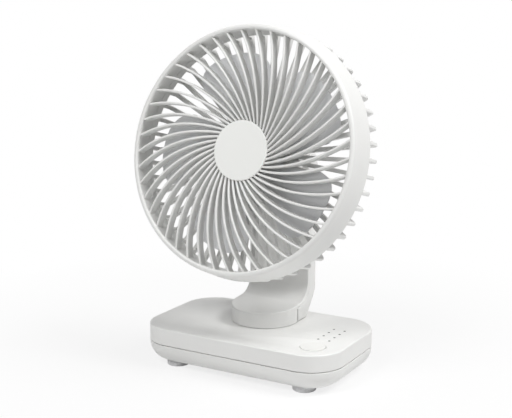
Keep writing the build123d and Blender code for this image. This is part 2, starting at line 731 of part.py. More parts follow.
def scoop_height(y):
    """Height of the scoop's gentle slope, before it curves up into the arm."""
    front = SWIVEL_Y - COLLAR_R
    return RIM_Z + (SCOOP_Z - RIM_Z) * (y - front) / (ARM_FRONT_Y - front)


def arm_solid():
    front = SWIVEL_Y - COLLAR_R
    points = [
        (front, ARM_FOOT),
        (front, RIM_Z),
        (ARM_FRONT_Y, SCOOP_Z),
        (ARM_FRONT_Y, PIVOT_Z),
        (ARM_REAR_Y, PIVOT_Z),
        (ARM_REAR_Y, HEEL_Z),
        (HEEL_Y, ARM_FOOT),
    ]
    solid = side(points, {2: SCOOP_ROUND, 5: HEEL_ROUND}, ARM_HALF + OVERCUT) & arm_plan(0)
    solid += disc(COLLAR_R, ARM_FOOT, ARM_FLOOR + DRUM_HEIGHT + ARM_WALL, 0, SWIVEL_Y)
    knuckle = Pos(0, PIVOT_Y, PIVOT_Z) * Rot(0, 90, 0) * Cylinder(KNUCKLE_R, 2 * ARM_HALF)
    solid += knuckle
    half = SLOT_WIDTH / 2
    slot_floor = PIVOT_Z - SLOT_DEPTH
    solid -= block(-half, half, ARM_FRONT_Y - KNUCKLE_R, ARM_REAR_Y + KNUCKLE_R, slot_floor, 2 * PIVOT_Z)
    return solid


def arm_cavity():
    points = [
        (SWIVEL_Y - COLLAR_R, ARM_FLOOR),
        (SWIVEL_Y - COLLAR_R, RIM_Z - ARM_SKIN),
        (ARM_FRONT_Y + ARM_SKIN, SCOOP_Z - ARM_SKIN),
        (ARM_FRONT_Y + ARM_SKIN, FRONT_COVER_TOP),
        (ARM_REAR_Y - ARM_WALL, FRONT_COVER_TOP),
        (ARM_REAR_Y - ARM_WALL, HEEL_Z),
        (HEEL_Y - ARM_WALL, ARM_FLOOR),
    ]
    rounds = {2: SCOOP_ROUND + ARM_SKIN, 5: HEEL_ROUND - ARM_WALL}
    cavity = side(points, rounds, ARM_HALF + OVERCUT) & arm_plan(ARM_WALL)
    return cavity + disc(COLLAR_R - ARM_WALL, ARM_FLOOR, ARM_FLOOR + DRUM_HEIGHT, 0, SWIVEL_Y)


def arm_rear_half(gap):
    """Everything behind the line where the two arm covers part, moved back by gap."""
    split_y = ARM_SPLIT_Y + gap
    face_y = ARM_FRONT_Y + ARM_SKIN + gap
    points = [
        (split_y, 0),
        (split_y, scoop_height(ARM_SPLIT_Y) - ARM_SKIN - gap),
        (face_y, SCOOP_Z - ARM_SKIN - gap),
        (face_y, FRONT_COVER_TOP + gap),
        (ARM_FRONT_Y - KNUCKLE_R, FRONT_COVER_TOP + gap),
        (ARM_FRONT_Y - KNUCKLE_R, PIVOT_Z + 2 * KNUCKLE_R),
        (ARM_REAR_Y + KNUCKLE_R, PIVOT_Z + 2 * KNUCKLE_R),
        (ARM_REAR_Y + KNUCKLE_R, 0),
    ]
    return side(points, {2: SCOOP_ROUND + ARM_SKIN + gap}, ARM_HALF + OVERCUT)


def arm_screw_places():
    return [(x, z) for x in (-ARM_SCREW_X, ARM_SCREW_X) for z in ARM_SCREW_ROWS]


def along_y(radius, y0, y1, x, z):
    """Round bar along Y from y0 to y1."""
    return Pos(x, (y0 + y1) / 2, z) * Rot(90, 0, 0) * Cylinder(radius, y1 - y0)


def foot_holes():
    holes = disc(SPINDLE_R + SEAT_FIT, ARM_FOOT - OVERCUT, ARM_FLOOR + OVERCUT, 0, SWIVEL_Y)
    for x, y in spindle_screw_places():
        holes += disc(BOARD_SCREW_R + SEAT_FIT, ARM_FOOT - OVERCUT, ARM_FLOOR + OVERCUT, x, y)
    return holes


def arm_front_cover():
    cover = arm_solid() - arm_rear_half(0) - arm_cavity()
    inner = ARM_REAR_Y - ARM_WALL - SEAT_FIT
    for x, z in arm_screw_places():
        cover += along_y(ARM_BOSS_R, ARM_FRONT_Y + ARM_SKIN / 2, inner, x, z)
        cover -= along_y(ARM_SCREW_R + SEAT_FIT, ARM_FRONT_Y + ARM_SKIN, inner + OVERCUT, x, z)
    return cover - foot_holes()


def arm_rear_cover():
    cover = (arm_solid() & arm_rear_half(PART_LINE)) - arm_cavity()
    for x, z in arm_screw_places():
        outside = ARM_REAR_Y + OVERCUT
        cover -= along_y(ARM_SCREW_R + SEAT_FIT, ARM_REAR_Y - ARM_WALL - OVERCUT, outside, x, z)
        cover -= along_y(ARM_SCREW_HEAD_R + SEAT_FIT, ARM_REAR_Y - ARM_SCREW_HEAD, outside, x, z)
    cover -= hinge_bar(PIN_R + SEAT_FIT, -2 * ARM_HALF, 2 * ARM_HALF)
    for side_sign in (-1, 1):
        inner = side_sign * (ARM_HALF - CAP_SINK)
        outer = side_sign * (ARM_HALF + OVERCUT)
        cover -= hinge_bar(CAP_R + SEAT_FIT, min(inner, outer), max(inner, outer))
    return cover - foot_holes()


def arm_screws():
    seat = ARM_REAR_Y - ARM_SCREW_HEAD
    end = ARM_FRONT_Y + ARM_SKIN + LOOSE
    screws = []
    for x, z in arm_screw_places():
        head = along_y(ARM_SCREW_HEAD_R, seat, ARM_REAR_Y - LOOSE / 2, x, z)
        screws.append(head + along_y(ARM_SCREW_R, end, seat + OVERLAP, x, z))
    return Part() + screws


# Tilt hinge
def hinge_bar(radius, x0, x1):
    """Round bar along the tilt axis from x0 to x1."""
    return Pos((x0 + x1) / 2, PIVOT_Y, PIVOT_Z) * Rot(0, 90, 0) * Cylinder(radius, x1 - x0)


def tilt_pin():
    end = ARM_HALF - CAP_SINK
    return hinge_bar(PIN_R, -end, end)


def tilt_washers():
    rings = []
    for x0 in (-SLOT_WIDTH / 2, SLOT_WIDTH / 2 - TILT_WASHER):
        ring = hinge_bar(TILT_WASHER_R, x0, x0 + TILT_WASHER)
        rings.append(ring - hinge_bar(PIN_R + SEAT_FIT, x0 - OVERCUT, x0 + TILT_WASHER + OVERCUT))
    return Part() + rings


def hinge_caps():
    inner = ARM_HALF - CAP_SINK
    outer = inner + CAP_THICK
    return Part() + [hinge_bar(CAP_R, -outer, -inner), hinge_bar(CAP_R, inner, outer)]


# Front guard, in the head's frame
def turned(points, rounds):
    """Solid of revolution about z from (radius, z) points."""
    return revolve(Plane.XZ * polygon(points, rounds), Axis.Z)


def ring_solid():
    inner_shoulder = RING_FRONT_R - RING_WALL
    edge = [
        Line((RING_INNER_R, -HOOP_DEPTH), (RING_INNER_R, 0)),
        ThreePointArc((RING_INNER_R, 0), (RING_INNER_R + LIP_CREST, LIP_RISE), (RING_FRONT_R, LIP_SHOULDER)),
        Polyline(
            (RING_FRONT_R, LIP_SHOULDER),
            (RING_REAR_R, -RING_REAR),
            (RING_REAR_R - RING_WALL, -RING_REAR),
            (inner_shoulder, -LIP_SHOULDER),
            (HOOP_OUTER_R, -LIP_SHOULDER),
            (HOOP_OUTER_R, -HOOP_DEPTH),
            (RING_INNER_R, -HOOP_DEPTH),
        ),
    ]
    return revolve(Plane.XZ * make_face(edge), Axis.Z)


def rib_dome():
    """Domed layer that all ribs lie in, one rib depth thick and highest between hub and ring."""
    inner_r = HUB_RING_R - HUB_RING_WALL
    places = [(inner_r, -RIB_START), (RIB_MID_R, RIB_CROWN), (HOOP_OUTER_R, RIB_END)]
    front = ThreePointArc(*places)
    back = ThreePointArc(*[(r, z - RIB_DEPTH) for r, z in places])
    layer = make_face([front, Line(front @ 1, back @ 1), back, Line(back @ 0, front @ 0)])
    return revolve(Plane.XZ * layer, Axis.Z)


def rib():
    """One spiral rib, an upright domed slat whose outer end lies at angle zero."""
    inner_r = HUB_RING_R - HUB_RING_WALL / 2
    outer_r = RING_INNER_R + HOOP_WALL / 2

    def at(radius, sweep, shift):
        turn = math.radians(sweep)
        across = turn + math.pi / 2
        x = radius * math.cos(turn) + shift * math.cos(across)
        y = radius * math.sin(turn) + shift * math.sin(across)
        return (x, y)

    def edge(shift):
        middle = at(RIB_MID_R, RIB_MID_SWEEP - RIB_SWEEP, shift)
        return ThreePointArc(at(inner_r, -RIB_SWEEP, shift), middle, at(outer_r, 0, shift))

    left = edge(RIB_WIDTH / 2)
    right = edge(-RIB_WIDTH / 2)
    outline = make_face([left, Line(left @ 1, right @ 1), right, Line(right @ 0, left @ 0)])
    tall = RIB_START + RIB_DEPTH
    return extrude(outline, tall, both=True) & rib_dome()


def guard_bar(radius, inner, outer):
    """Round bar along the lock screw's axis, between two distances from the head's axis."""
    return Pos(0, -(inner + outer) / 2, -GUARD_SCREW_BACK) * Rot(90, 0, 0) * Cylinder(radius, outer - inner)


def front_grille():
    hub_back = -RIB_FRONT - RIB_DEPTH
    hub_front = -RIB_FRONT
    hub = disc(HUB_RING_R, hub_front - HUB_PLATE, hub_front)
    hub += tube(HUB_RING_R, HUB_RING_R - HUB_RING_WALL, hub_back, hub_front)
    hub -= disc(HUB_CAP_SPIGOT_R + SEAT_FIT, hub_back - OVERCUT, hub_front + OVERCUT)
    slat = rib()
    slat -= disc(HUB_R + SEAT_FIT, hub_front, hub_front + RIB_DEPTH)
    ribs = [Rot(0, 0, RIB_PHASE + 360.0 * i / RIB_COUNT) * slat for i in range(RIB_COUNT)]
    grille = ring_solid() + [hub] + ribs
    grille -= guard_bar(GUARD_SCREW_R + SEAT_FIT, RING_INNER_R + HOOP_WALL, RING_REAR_R)
    return grille - guard_bar(GUARD_SCREW_HEAD_R + SEAT_FIT, GUARD_SEAT_R, RING_REAR_R + OVERCUT)


def hub_cap():
    back = -RIB_FRONT
    spigot_bore = HUB_CAP_SPIGOT_R - HUB_CAP_SPIGOT_WALL
    cap = disc(HUB_R, back, -HUB_CAP_FRONT)
    cap = fillet(cap.faces().sort_by(Axis.Z)[-1].edges(), HUB_CAP_EDGE)
    return cap + tube(HUB_CAP_SPIGOT_R, spigot_bore, back - HUB_CAP_SPIGOT, back + OVERLAP)


# Rear guard, in the head's frame
def fin():
    """One radial fin: a leg behind the ring, a rounded corner and a spoke towards the motor."""
    front = -RING_REAR + FLANGE / 2
    points = [
        (FIN_INNER_R, front),
        (FLANGE_R, front),
        (FLANGE_R, -RING_REAR - PART_LINE),
        (FIN_OUTER_R, -RING_REAR - PART_LINE),
        (FIN_OUTER_R, -FIN_BACK),
        (CENTRE_R - FIN_ROOT, -FIN_BACK),
        (CENTRE_R - FIN_ROOT, -FIN_BACK + FIN_DEPTH),
        (FIN_INNER_R, -FIN_BACK + FIN_DEPTH),
    ]
    outline = polygon(points, {4: FIN_CORNER, 7: FIN_INNER_CORNER})
    return extrude(Plane.XZ * outline, FIN_THICK / 2, both=True)


def rear_grille():
    half = GUARD_PAD / 2
    rim = tube(RIM_R + RIM_WALL, RIM_R, -RING_REAR, -RING_REAR + RIM_OVERLAP)
    rim += tube(RIM_R + RIM_WALL, RING_INNER_R, -RING_REAR, -HOOP_DEPTH)
    rim += tube(FLANGE_R, RIM_R, -RING_REAR, -RING_REAR + FLANGE)
    rim += block(-half, half, -GUARD_PAD_R, -RIM_R, -GUARD_SCREW_BACK - half, -GUARD_SCREW_BACK + half)
    slat = fin()
    fins = [Rot(0, 0, FIN_PHASE + 360.0 * i / FIN_COUNT) * slat for i in range(FIN_COUNT)]
    centre = disc(CENTRE_R, -FIN_BACK, -CENTRE_FRONT)
    through = (-FIN_BACK - OVERCUT, -CENTRE_FRONT + OVERCUT)
    centre -= disc(TUBE_R + LOOSE, *through)
    grille = rim + [centre] + fins
    grille -= guard_bar(GUARD_SCREW_R + SEAT_FIT, RING_INNER_R, RING_REAR_R)
    for x, y in ring_places(MOTOR_SCREWS, MOTOR_SCREW_PITCH_R, 90):
        grille -= disc(BOARD_SCREW_R + SEAT_FIT, *through, x, y)
    for x, y in ring_places(HOUSING_SCREWS, HOUSING_SCREW_PITCH_R, 30):
        grille -= disc(BOARD_SCREW_R + SEAT_FIT, *through, x, y)
    return grille


def guard_screw():
    head = guard_bar(GUARD_SCREW_HEAD_R, GUARD_SEAT_R, GUARD_SEAT_R + GUARD_SCREW_HEAD)
    return head + guard_bar(GUARD_SCREW_R, RING_INNER_R + LOOSE, GUARD_SEAT_R + OVERLAP)


# Motor, in the head's frame
def motor_base():
    plate = disc(MOTOR_PLATE_R, -CENTRE_FRONT, -MOTOR_PLATE_FRONT)
    plate += disc(TUBE_R, -CENTRE_FRONT, -TUBE_FRONT)
    plate -= disc(BEARING_R + SEAT_FIT, -CENTRE_FRONT - OVERCUT, -TUBE_FRONT + OVERCUT)
    through = (-CENTRE_FRONT - OVERCUT, -MOTOR_PLATE_FRONT + OVERCUT)
    for x, y in ring_places(MOTOR_SCREWS, MOTOR_SCREW_PITCH_R, 90):
        plate -= disc(BOARD_SCREW_R + SEAT_FIT, *through, x, y)
    for x, y in ring_places(HOUSING_SCREWS, HOUSING_SCREW_PITCH_R, 30):
        plate -= disc(BOARD_SCREW_HEAD_R + LOOSE, *through, x, y)
    return plate


def motor_screws():
    bite = MOTOR_PLATE + CENTRE_PLATE
    sizes = (BOARD_SCREW_R, BOARD_SCREW_HEAD_R, BOARD_SCREW_HEAD, bite)
    places = ring_places(MOTOR_SCREWS, MOTOR_SCREW_PITCH_R, 90)
    return Part() + [screw(x, y, -MOTOR_PLATE_FRONT, *sizes) for x, y in places]


def bearing(z_front):
    return tube(BEARING_R, SHAFT_R + RUN_FIT, z_front - BEARING_LENGTH, z_front)


def front_bearing():
    return bearing(-TUBE_FRONT)


def rear_bearing():
    return bearing(-CENTRE_FRONT + BEARING_LENGTH)


def stator_core():
    outline = Circle(STATOR_YOKE_R)
    for i in range(STATOR_TEETH):
        reach = STATOR_R - TOOTH_TIP / 2
        tooth = Pos(reach / 2, 0) * Rectangle(reach, TOOTH_WIDTH)
        tip = Pos(reach, 0) * Rectangle(TOOTH_TIP, TOOTH_WIDTH * 3)
        outline += Rot(0, 0, 360.0 * i / STATOR_TEETH) * (tooth + tip)
    outline = outline & Circle(STATOR_R)
    outline -= Circle(TUBE_R + SEAT_FIT)
    return Pos(0, 0, -STATOR_FRONT - STATOR_STACK) * extrude(outline, STATOR_STACK)


def stator_windings():
    inner = STATOR_YOKE_R + COIL_GAP
    outer = STATOR_R - TOOTH_TIP - 2 * COIL_GAP
    half = TOOTH_WIDTH / 2
    front = -STATOR_FRONT
    back = front - STATOR_STACK
    coil = block(inner, outer, -half - COIL_PAD, half + COIL_PAD, back - COIL_PAD, front + COIL_PAD)
    core = half + SEAT_FIT
    coil -= block(inner - OVERCUT, outer + OVERCUT, -core, core, back - SEAT_FIT, front + SEAT_FIT)
    return Part() + [Rot(0, 0, 360.0 * i / STATOR_TEETH) * coil for i in range(STATOR_TEETH)]


# Rotor, in the head's frame
def motor_shaft():
    return disc(SHAFT_R, -CENTRE_FRONT - 2 * CLIP_THICK, -SHAFT_FRONT)


def shaft_clip():
    back = -CENTRE_FRONT - CLIP_THICK - PART_LINE
    return tube(CLIP_R, SHAFT_R + SEAT_FIT, back, back + CLIP_THICK)


def rotor_cup():
    cup = disc(CUP_R, -CUP_FRONT - CUP_DEPTH, -CUP_FRONT)
    cup -= disc(CUP_INNER_R, -CUP_FRONT - CUP_DEPTH - OVERCUT, -CUP_FRONT - CUP_WALL)
    return cup - disc(SHAFT_R + SEAT_FIT, -CUP_FRONT - CUP_DEPTH, -CUP_FRONT + OVERCUT)


def magnet_ring():
    inner = CUP_INNER_R - MAGNET
    front = -CUP_FRONT - CUP_WALL
    return tube(CUP_INNER_R - SEAT_FIT, inner, front - CUP_DEPTH + 2 * CUP_WALL, front)


def blade_section(radius, half, pitch):
    """Cambered blade section on a plane across the blade at the given radius."""
    upper = ThreePointArc((-half, 0), (0, BLADE_CAMBER + BLADE_THICK), (half, 0))
    lower = ThreePointArc((half, 0), (0, BLADE_CAMBER), (-half, 0))
    face = Rot(0, 0, pitch) * make_face([upper, lower])
    middle = -BLADE_HUB_FRONT - BLADE_HUB_DEPTH / 2 - BLADE_CAMBER / 2
    return Plane(origin=(radius, 0, middle), x_dir=(0, 1, 0), z_dir=(1, 0, 0)) * face


def blade_point(radius, half):
    """Point of the blade's outline, half to one side of its swept middle line."""
    sweep = BLADE_SWEEP * (radius - BLADE_HUB_R) / (BLADE_TIP_R - BLADE_HUB_R)
    turn = math.radians(sweep) + math.asin(half / radius)
    return (radius * math.cos(turn), radius * math.sin(turn))


def blade():
    root_r = BLADE_HUB_R - BLADE_HUB_WALL / 2
    root = blade_section(root_r, BLADE_SPREAD / 2, BLADE_ROOT_PITCH)
    middle = blade_section(BLADE_MID_R, BLADE_SPREAD, BLADE_MID_PITCH)
    tip = blade_section(BLADE_TIP_R + BLADE_THICK, BLADE_SPREAD, BLADE_TIP_PITCH)
    paddle = loft([root, middle, tip])
    stations = [
        (root_r, BLADE_ROOT_HALF),
        (BLADE_MID_R, BLADE_MID_HALF),
        (BLADE_WIDE_R, BLADE_WIDE_HALF),
        (BLADE_SHOULDER_R, BLADE_SHOULDER_HALF),
    ]
    trailing = [blade_point(r, -half) for r, half in stations]
    leading = [blade_point(r, half) for r, half in reversed(stations)]
    outline = Spline(*trailing, blade_point(BLADE_TIP_R, 0), *leading)
    face = make_face([outline, Line(outline @ 1, outline @ 0)])
    keep = Pos(0, 0, -BLADE_HUB_FRONT - BLADE_HUB_DEPTH) * extrude(face, BLADE_HUB_DEPTH)
    return paddle & keep


def fan_blades():
    back = -BLADE_HUB_FRONT - BLADE_HUB_DEPTH
    hub = disc(BLADE_HUB_R, back, -BLADE_HUB_FRONT)
    hub = fillet(hub.faces().sort_by(Axis.Z)[-1].edges(), BLADE_HUB_EDGE)
    one = blade()
    hub = hub + [Rot(0, 0, BLADE_PHASE + 360.0 * i / BLADE_COUNT) * one for i in range(BLADE_COUNT)]
    hub -= disc(CUP_R + SEAT_FIT, back - OVERCUT, -CUP_FRONT)
    return hub - disc(SHAFT_R + SEAT_FIT, back - OVERCUT, -SHAFT_FRONT)


# Motor housing, in the head's frame
def motor_housing():
    front = -HOUSING_FRONT
    back = -HOUSING_BACK
    outer = turned([(0, front), (HOUSING_R, front), (HOUSING_R, back), (0, back)], {2: HOUSING_ROUND})
    inner_r = HOUSING_R - HOUSING_WALL
    inner_back = back + HOUSING_WALL
    mouth = front + OVERCUT
    hollow = turned(
        [(0, mouth), (inner_r, mouth), (inner_r, inner_back), (0, inner_back)],
        {2: HOUSING_ROUND - HOUSING_WALL},
    )
    neck = block(-LUG_HALF, LUG_HALF, -KNUCKLE_R, KNUCKLE_R, -NECK_REACH, inner_back)
    neck += Pos(0, 0, -NECK_REACH) * Rot(0, 90, 0) * Cylinder(KNUCKLE_R, 2 * LUG_HALF)
    shell = outer + neck - hollow
    for x, y in ring_places(HOUSING_SCREWS, HOUSING_SCREW_PITCH_R, 30):
        shell += disc(HOUSING_BOSS_R, front - HOUSING_BOSS, front, x, y) & outer
        shell -= disc(BOARD_SCREW_R + SEAT_FIT, front - HOUSING_BITE - LOOSE, mouth, x, y)
    stake_end = -DRIVER_BACK + DRIVER_THICK + DRIVER_STAKE_PROUD
    for x, y in ring_places(DRIVER_STAKES, DRIVER_STAKE_PITCH_R, 90):
        shell += disc(DRIVER_STANDOFF_R, back + HOUSING_WALL / 2, -DRIVER_BACK, x, y)
        shell += disc(DRIVER_STAKE_R, back + HOUSING_WALL / 2, stake_end, x, y)
    return shell - Pos(0, 0, -NECK_REACH) * Rot(0, 90, 0) * Cylinder(PIN_R + RUN_FIT, 4 * LUG_HALF)


def housing_screws():
    bite = CENTRE_PLATE + HOUSING_BITE
    sizes = (BOARD_SCREW_R, BOARD_SCREW_HEAD_R, BOARD_SCREW_HEAD, bite)
    places = ring_places(HOUSING_SCREWS, HOUSING_SCREW_PITCH_R, 30)
    return Part() + [screw(x, y, -CENTRE_FRONT, *sizes) for x, y in places]


def motor_board():
    back = -DRIVER_BACK
    front = back + DRIVER_THICK
    board = disc(DRIVER_R, back, front)
    for x, y in ring_places(DRIVER_STAKES, DRIVER_STAKE_PITCH_R, 90):
        board -= disc(DRIVER_STAKE_R + SEAT_FIT, back - OVERCUT, front + OVERCUT, x, y)
    return board


# Every piece of the fan, by its name
STANDING = {
    "base_top_cover": base_top_cover,
    "base_bottom_cover": base_bottom_cover,
    "rubber_feet": rubber_feet,
    "base_screws": base_screws,
    "ballast_plate": ballast_plate,
    "battery_cells": battery_cells,
    "battery_cradle": battery_cradle,
    "cell_straps": cell_straps,
    "control_board": control_board,
    "board_screws": board_screws,
    "indicator_leds": indicator_leds,
    "light_guide": light_guide,
    "charge_socket": charge_socket,
    "tact_switch": tact_switch,
    "switch_plunger": switch_plunger,
    "power_button": power_button,
    "thrust_washer": thrust_washer,
    "swivel_spindle": swivel_spindle,
    "spindle_screws": spindle_screws,
    "friction_washer": friction_washer,
    "spindle_retainer": spindle_retainer,
    "arm_front_cover": arm_front_cover,
    "arm_rear_cover": arm_rear_cover,
    "arm_screws": arm_screws,
    "tilt_pin": tilt_pin,
    "tilt_washers": tilt_washers,
    "hinge_caps": hinge_caps,
}
IN_HEAD = {
    "front_grille": front_grille,
    "hub_cap": hub_cap,
    "rear_grille": rear_grille,
    "guard_screw": guard_screw,
    "motor_base": motor_base,
    "motor_screws": motor_screws,
    "front_bearing": front_bearing,
    "rear_bearing": rear_bearing,
    "stator_core": stator_core,
    "stator_windings": stator_windings,
    "motor_board": motor_board,
    "motor_housing": motor_housing,
    "housing_screws": housing_screws,
    "fan_blades": fan_blades,
    "rotor_cup": rotor_cup,
    "magnet_ring": magnet_ring,
    "motor_shaft": motor_shaft,
    "shaft_clip": shaft_clip,
}

os.makedirs("parts", exist_ok=True)
for name, make in STANDING.items():
    save(name, make())
for name, make in IN_HEAD.items():
    save(name, HEAD * make())
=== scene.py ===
# %% [markdown]
# # A rechargeable desk fan
# The fan is a round guarded head on a scooped arm, which turns on a low base with a push button.
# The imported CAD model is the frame: it says which pieces there are, where they sit and how they
# move. This lesson gives each visible piece a smooth surface and a finish, and then sets the fan
# in a small white studio. Lengths are in millimetres until a shape becomes a mesh.

import json

import bmesh
import bpy
import numpy as np
from mathutils import Matrix


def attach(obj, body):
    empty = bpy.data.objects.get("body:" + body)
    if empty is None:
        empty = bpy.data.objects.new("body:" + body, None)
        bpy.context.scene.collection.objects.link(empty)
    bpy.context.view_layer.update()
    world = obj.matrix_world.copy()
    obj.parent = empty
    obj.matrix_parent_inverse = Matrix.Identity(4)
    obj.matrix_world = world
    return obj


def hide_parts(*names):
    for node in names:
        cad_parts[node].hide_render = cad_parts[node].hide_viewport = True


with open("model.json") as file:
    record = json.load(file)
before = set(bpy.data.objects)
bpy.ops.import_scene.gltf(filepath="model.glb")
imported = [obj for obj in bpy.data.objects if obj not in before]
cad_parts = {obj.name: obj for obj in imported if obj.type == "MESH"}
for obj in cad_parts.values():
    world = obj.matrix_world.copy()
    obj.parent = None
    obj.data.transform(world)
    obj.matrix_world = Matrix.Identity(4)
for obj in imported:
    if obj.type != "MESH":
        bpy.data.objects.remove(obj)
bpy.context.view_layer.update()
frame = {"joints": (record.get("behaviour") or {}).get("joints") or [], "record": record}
joints = {joint["name"]: joint for joint in frame["joints"]}
MM = 0.001

# %% [markdown]
# ## Outlines with soft corners
# No corner of a moulded part is perfectly sharp, and the thin line of light along a rounded edge is
# what makes it look real. A Bevel modifier could round the edges, but each would need a weight of
# its own. Here every outline and profile is a list of corner points with a radius for each, and all
# the arcs are worked out at once, as arrays. A support point beside each arc keeps the flat runs
# flat when the shading is smooth.

# %% Rounded outlines
def unit(vectors):
    """Vectors divided by their own lengths."""
    return vectors / np.linalg.norm(vectors, axis=-1, keepdims=True)


def rounded(points, radii, steps=6, support=0.15, closed=True):
    """Outline with an arc at each corner.

    With u and v the directions from a corner to its neighbours and h half the angle between them,
    the arc meets the sides at radius / tan(h), and its centre is radius / sin(h) along u + v."""
    points = np.asarray(points, float)
    corner = points if closed else points[1:-1]
    u = unit((np.roll(points, 1, 0) if closed else points[:-2]) - corner)
    v = unit((np.roll(points, -1, 0) if closed else points[2:]) - corner)
    radius = np.broadcast_to(np.asarray(radii, float), len(corner))[:, None]
    half = 0.5 * np.arccos(np.clip((u * v).sum(1), -1, 1))[:, None]
    reach = radius / np.tan(half)
    centre = corner + unit(u + v) * radius / np.sin(half)
    start = corner + u * reach - centre
    end = corner + v * reach - centre
    swing = np.pi - 2 * half
    t = np.linspace(0, 1, steps + 1)
    from_start = np.sin((1 - t) * swing)[..., None] * start[:, None]
    from_end = np.sin(t * swing)[..., None] * end[:, None]
    arc = centre[:, None] + (from_start + from_end) / np.sin(swing)[..., None]
    before = (corner + u * (reach + support))[:, None]
    after = (corner + v * (reach + support))[:, None]
    outline = np.concatenate([before, arc, after], axis=1).reshape(-1, 2)
    return outline if closed else np.concatenate([points[:1], outline, points[-1:]])


def drawn_in(outline, distance):
    """Closed outline moved inwards by a distance, along the normal at each of its points."""
    along = unit(np.roll(outline, -1, 0) - np.roll(outline, 1, 0))
    outward = np.stack([along[:, 1], -along[:, 0]], axis=1)
    x, y = outline.T
    turning = np.sign((x * np.roll(y, -1) - y * np.roll(x, -1)).sum())
    return outline - turning * distance * outward


square = [(0, 0), (10, 0), (10, 10), (0, 10)]
print("a square with soft corners has", len(rounded(square, 2.0)), "points")

# %% [markdown]
# ## Shapes from grids of points
# A shape is a grid of points with quads between its lines, and flat caps where a wall ends. Turned
# pieces carry a profile round an axis, the others carry a closed section along a path.

# %% Grids, turned shapes and walls
def quads_of(rows, columns, rows_closed=False, columns_closed=True):
    """Quads between the lines of a grid; a closed direction joins its last line to its first."""
    index = np.arange(rows * columns).reshape(rows, columns)
    index = np.concatenate([index, index[:1]]) if rows_closed else index
    index = np.concatenate([index, index[:, :1]], axis=1) if columns_closed else index
    corners = [index[:-1, :-1], index[:-1, 1:], index[1:, 1:], index[1:, :-1]]
    return np.stack(corners, axis=-1).reshape(-1, 4)


def lathe(profile, turns=128):
    """Profile of (radius, height) turned about z: (r cos a, r sin a, h) for a full turn of a."""
    profile = np.asarray(profile, float)
    angle = np.linspace(0, 2 * np.pi, turns, endpoint=False)[:, None]
    radius, height = profile.T
    grid = np.broadcast_arrays(radius * np.cos(angle), radius * np.sin(angle), height)
    hollow = profile[0, 0] > 0
    return np.stack(grid, axis=-1).reshape(-1, 3), quads_of(turns, len(profile), True, hollow), []


def wall(loops):
    """Closed loops of equal length joined one to the next, with a flat cap at each end."""
    rows, count, _ = loops.shape
    last = np.arange(count) + (rows - 1) * count
    return loops.reshape(-1, 3), quads_of(rows, count), [np.arange(count), last]


def prism(outline, axis, ends):
    """Straight bar: the outline repeated at both ends along one axis, with a wall between them."""
    outline = np.asarray(outline, float)
    return wall(np.array([np.insert(outline, axis, end, axis=1) for end in ends]))


def slab(outline, half_width, edge, steps=4):
    """Flat piece: an outline across x, with its two rims rounded by edge.

    Row by row the outline is drawn in by edge (1 - cos b) and stands at half_width - edge (1 - sin b)."""
    b = np.linspace(0, np.pi / 2, steps + 1)
    inset = edge * (1 - np.cos(b))
    across = half_width - edge * (1 - np.sin(b))
    inset = np.concatenate([inset[::-1], inset])
    across = np.concatenate([-across[::-1], across])
    loops = [np.insert(drawn_in(outline, i), 0, x, axis=1) for i, x in zip(inset, across)]
    return wall(np.array(loops))


bar = prism(square, 2, (0, 5))
print("a plain bar has", len(bar[1]), "quads and", len(bar[2]), "caps")

# %% [markdown]
# ## Moving, joining and repeating shapes
# What repeats round the head is made once and turned as a whole array of points. Blender's Array
# modifier could do that with a helper object. Numpy needs none, and every piece stays at the origin,
# unturned, with its place in its mesh.

# %% Moved, joined and repeated shapes
def together(*shapes):
    """Several shapes as one: their points in a row, and their faces counted on."""
    starts = np.cumsum([0] + [len(points) for points, _, _ in shapes[:-1]])
    points = np.concatenate([shape[0] for shape in shapes])
    quads = np.concatenate([shape[1] + start for shape, start in zip(shapes, starts)])
    caps = [cap + start for shape, start in zip(shapes, starts) for cap in shape[2]]
    return points, quads, caps


def moved(shape, origin, axes=np.eye(3)):
    """Shape carried into another frame: origin plus each coordinate along its axis."""
    points, quads, caps = shape
    return np.asarray(origin, float) + points @ np.asarray(axes, float), quads, caps


def spun(shape, count, phase):
    """Copies of a shape at equal angles about z, starting at phase degrees."""
    points, quads, caps = shape
    angle = np.radians(phase) + 2 * np.pi * np.arange(count) / count
    cos, sin, zero, one = np.cos(angle), np.sin(angle), np.zeros(count), np.ones(count)
    turn = np.array([[cos, sin, zero], [-sin, cos, zero], [zero, zero, one]])
    copies = np.einsum("pi,ijn->npj", points, turn).reshape(-1, 3)
    starts = np.arange(count) * len(points)
    faces = (quads[None] + starts[:, None, None]).reshape(-1, 4)
    return copies, faces, [cap + start for start in starts for cap in caps]


print("three bars have", len(spun(bar, 3, 0.0)[0]), "points")

# %% [markdown]
# ## From a shape to a piece of the fan
# A piece rides on the body that moves it, takes the finish of one of the record's slots and stands
# for the CAD node that it improves. Doubles are merged first, then the faces are turned outwards
# and shaded smooth, and only edges sharper than HARD_EDGE stay hard. Holes are cut with an exact
# Boolean, which takes one shape cleanly out of another.

# %% Pieces and holes
HARD_EDGE = np.radians(38)
WELD = 1e-6
made = {}


def settle(mesh):
    """Merges doubles, turns faces outwards and shades all but the hard edges smooth."""
    work = bmesh.new()
    work.from_mesh(mesh)
    bmesh.ops.remove_doubles(work, verts=work.verts, dist=WELD)
    bmesh.ops.dissolve_degenerate(work, dist=WELD, edges=work.edges)
    bmesh.ops.recalc_face_normals(work, faces=work.faces)
    work.to_mesh(mesh)
    work.free()
    mesh.shade_smooth()
    mesh.set_sharp_from_angle(angle=HARD_EDGE)


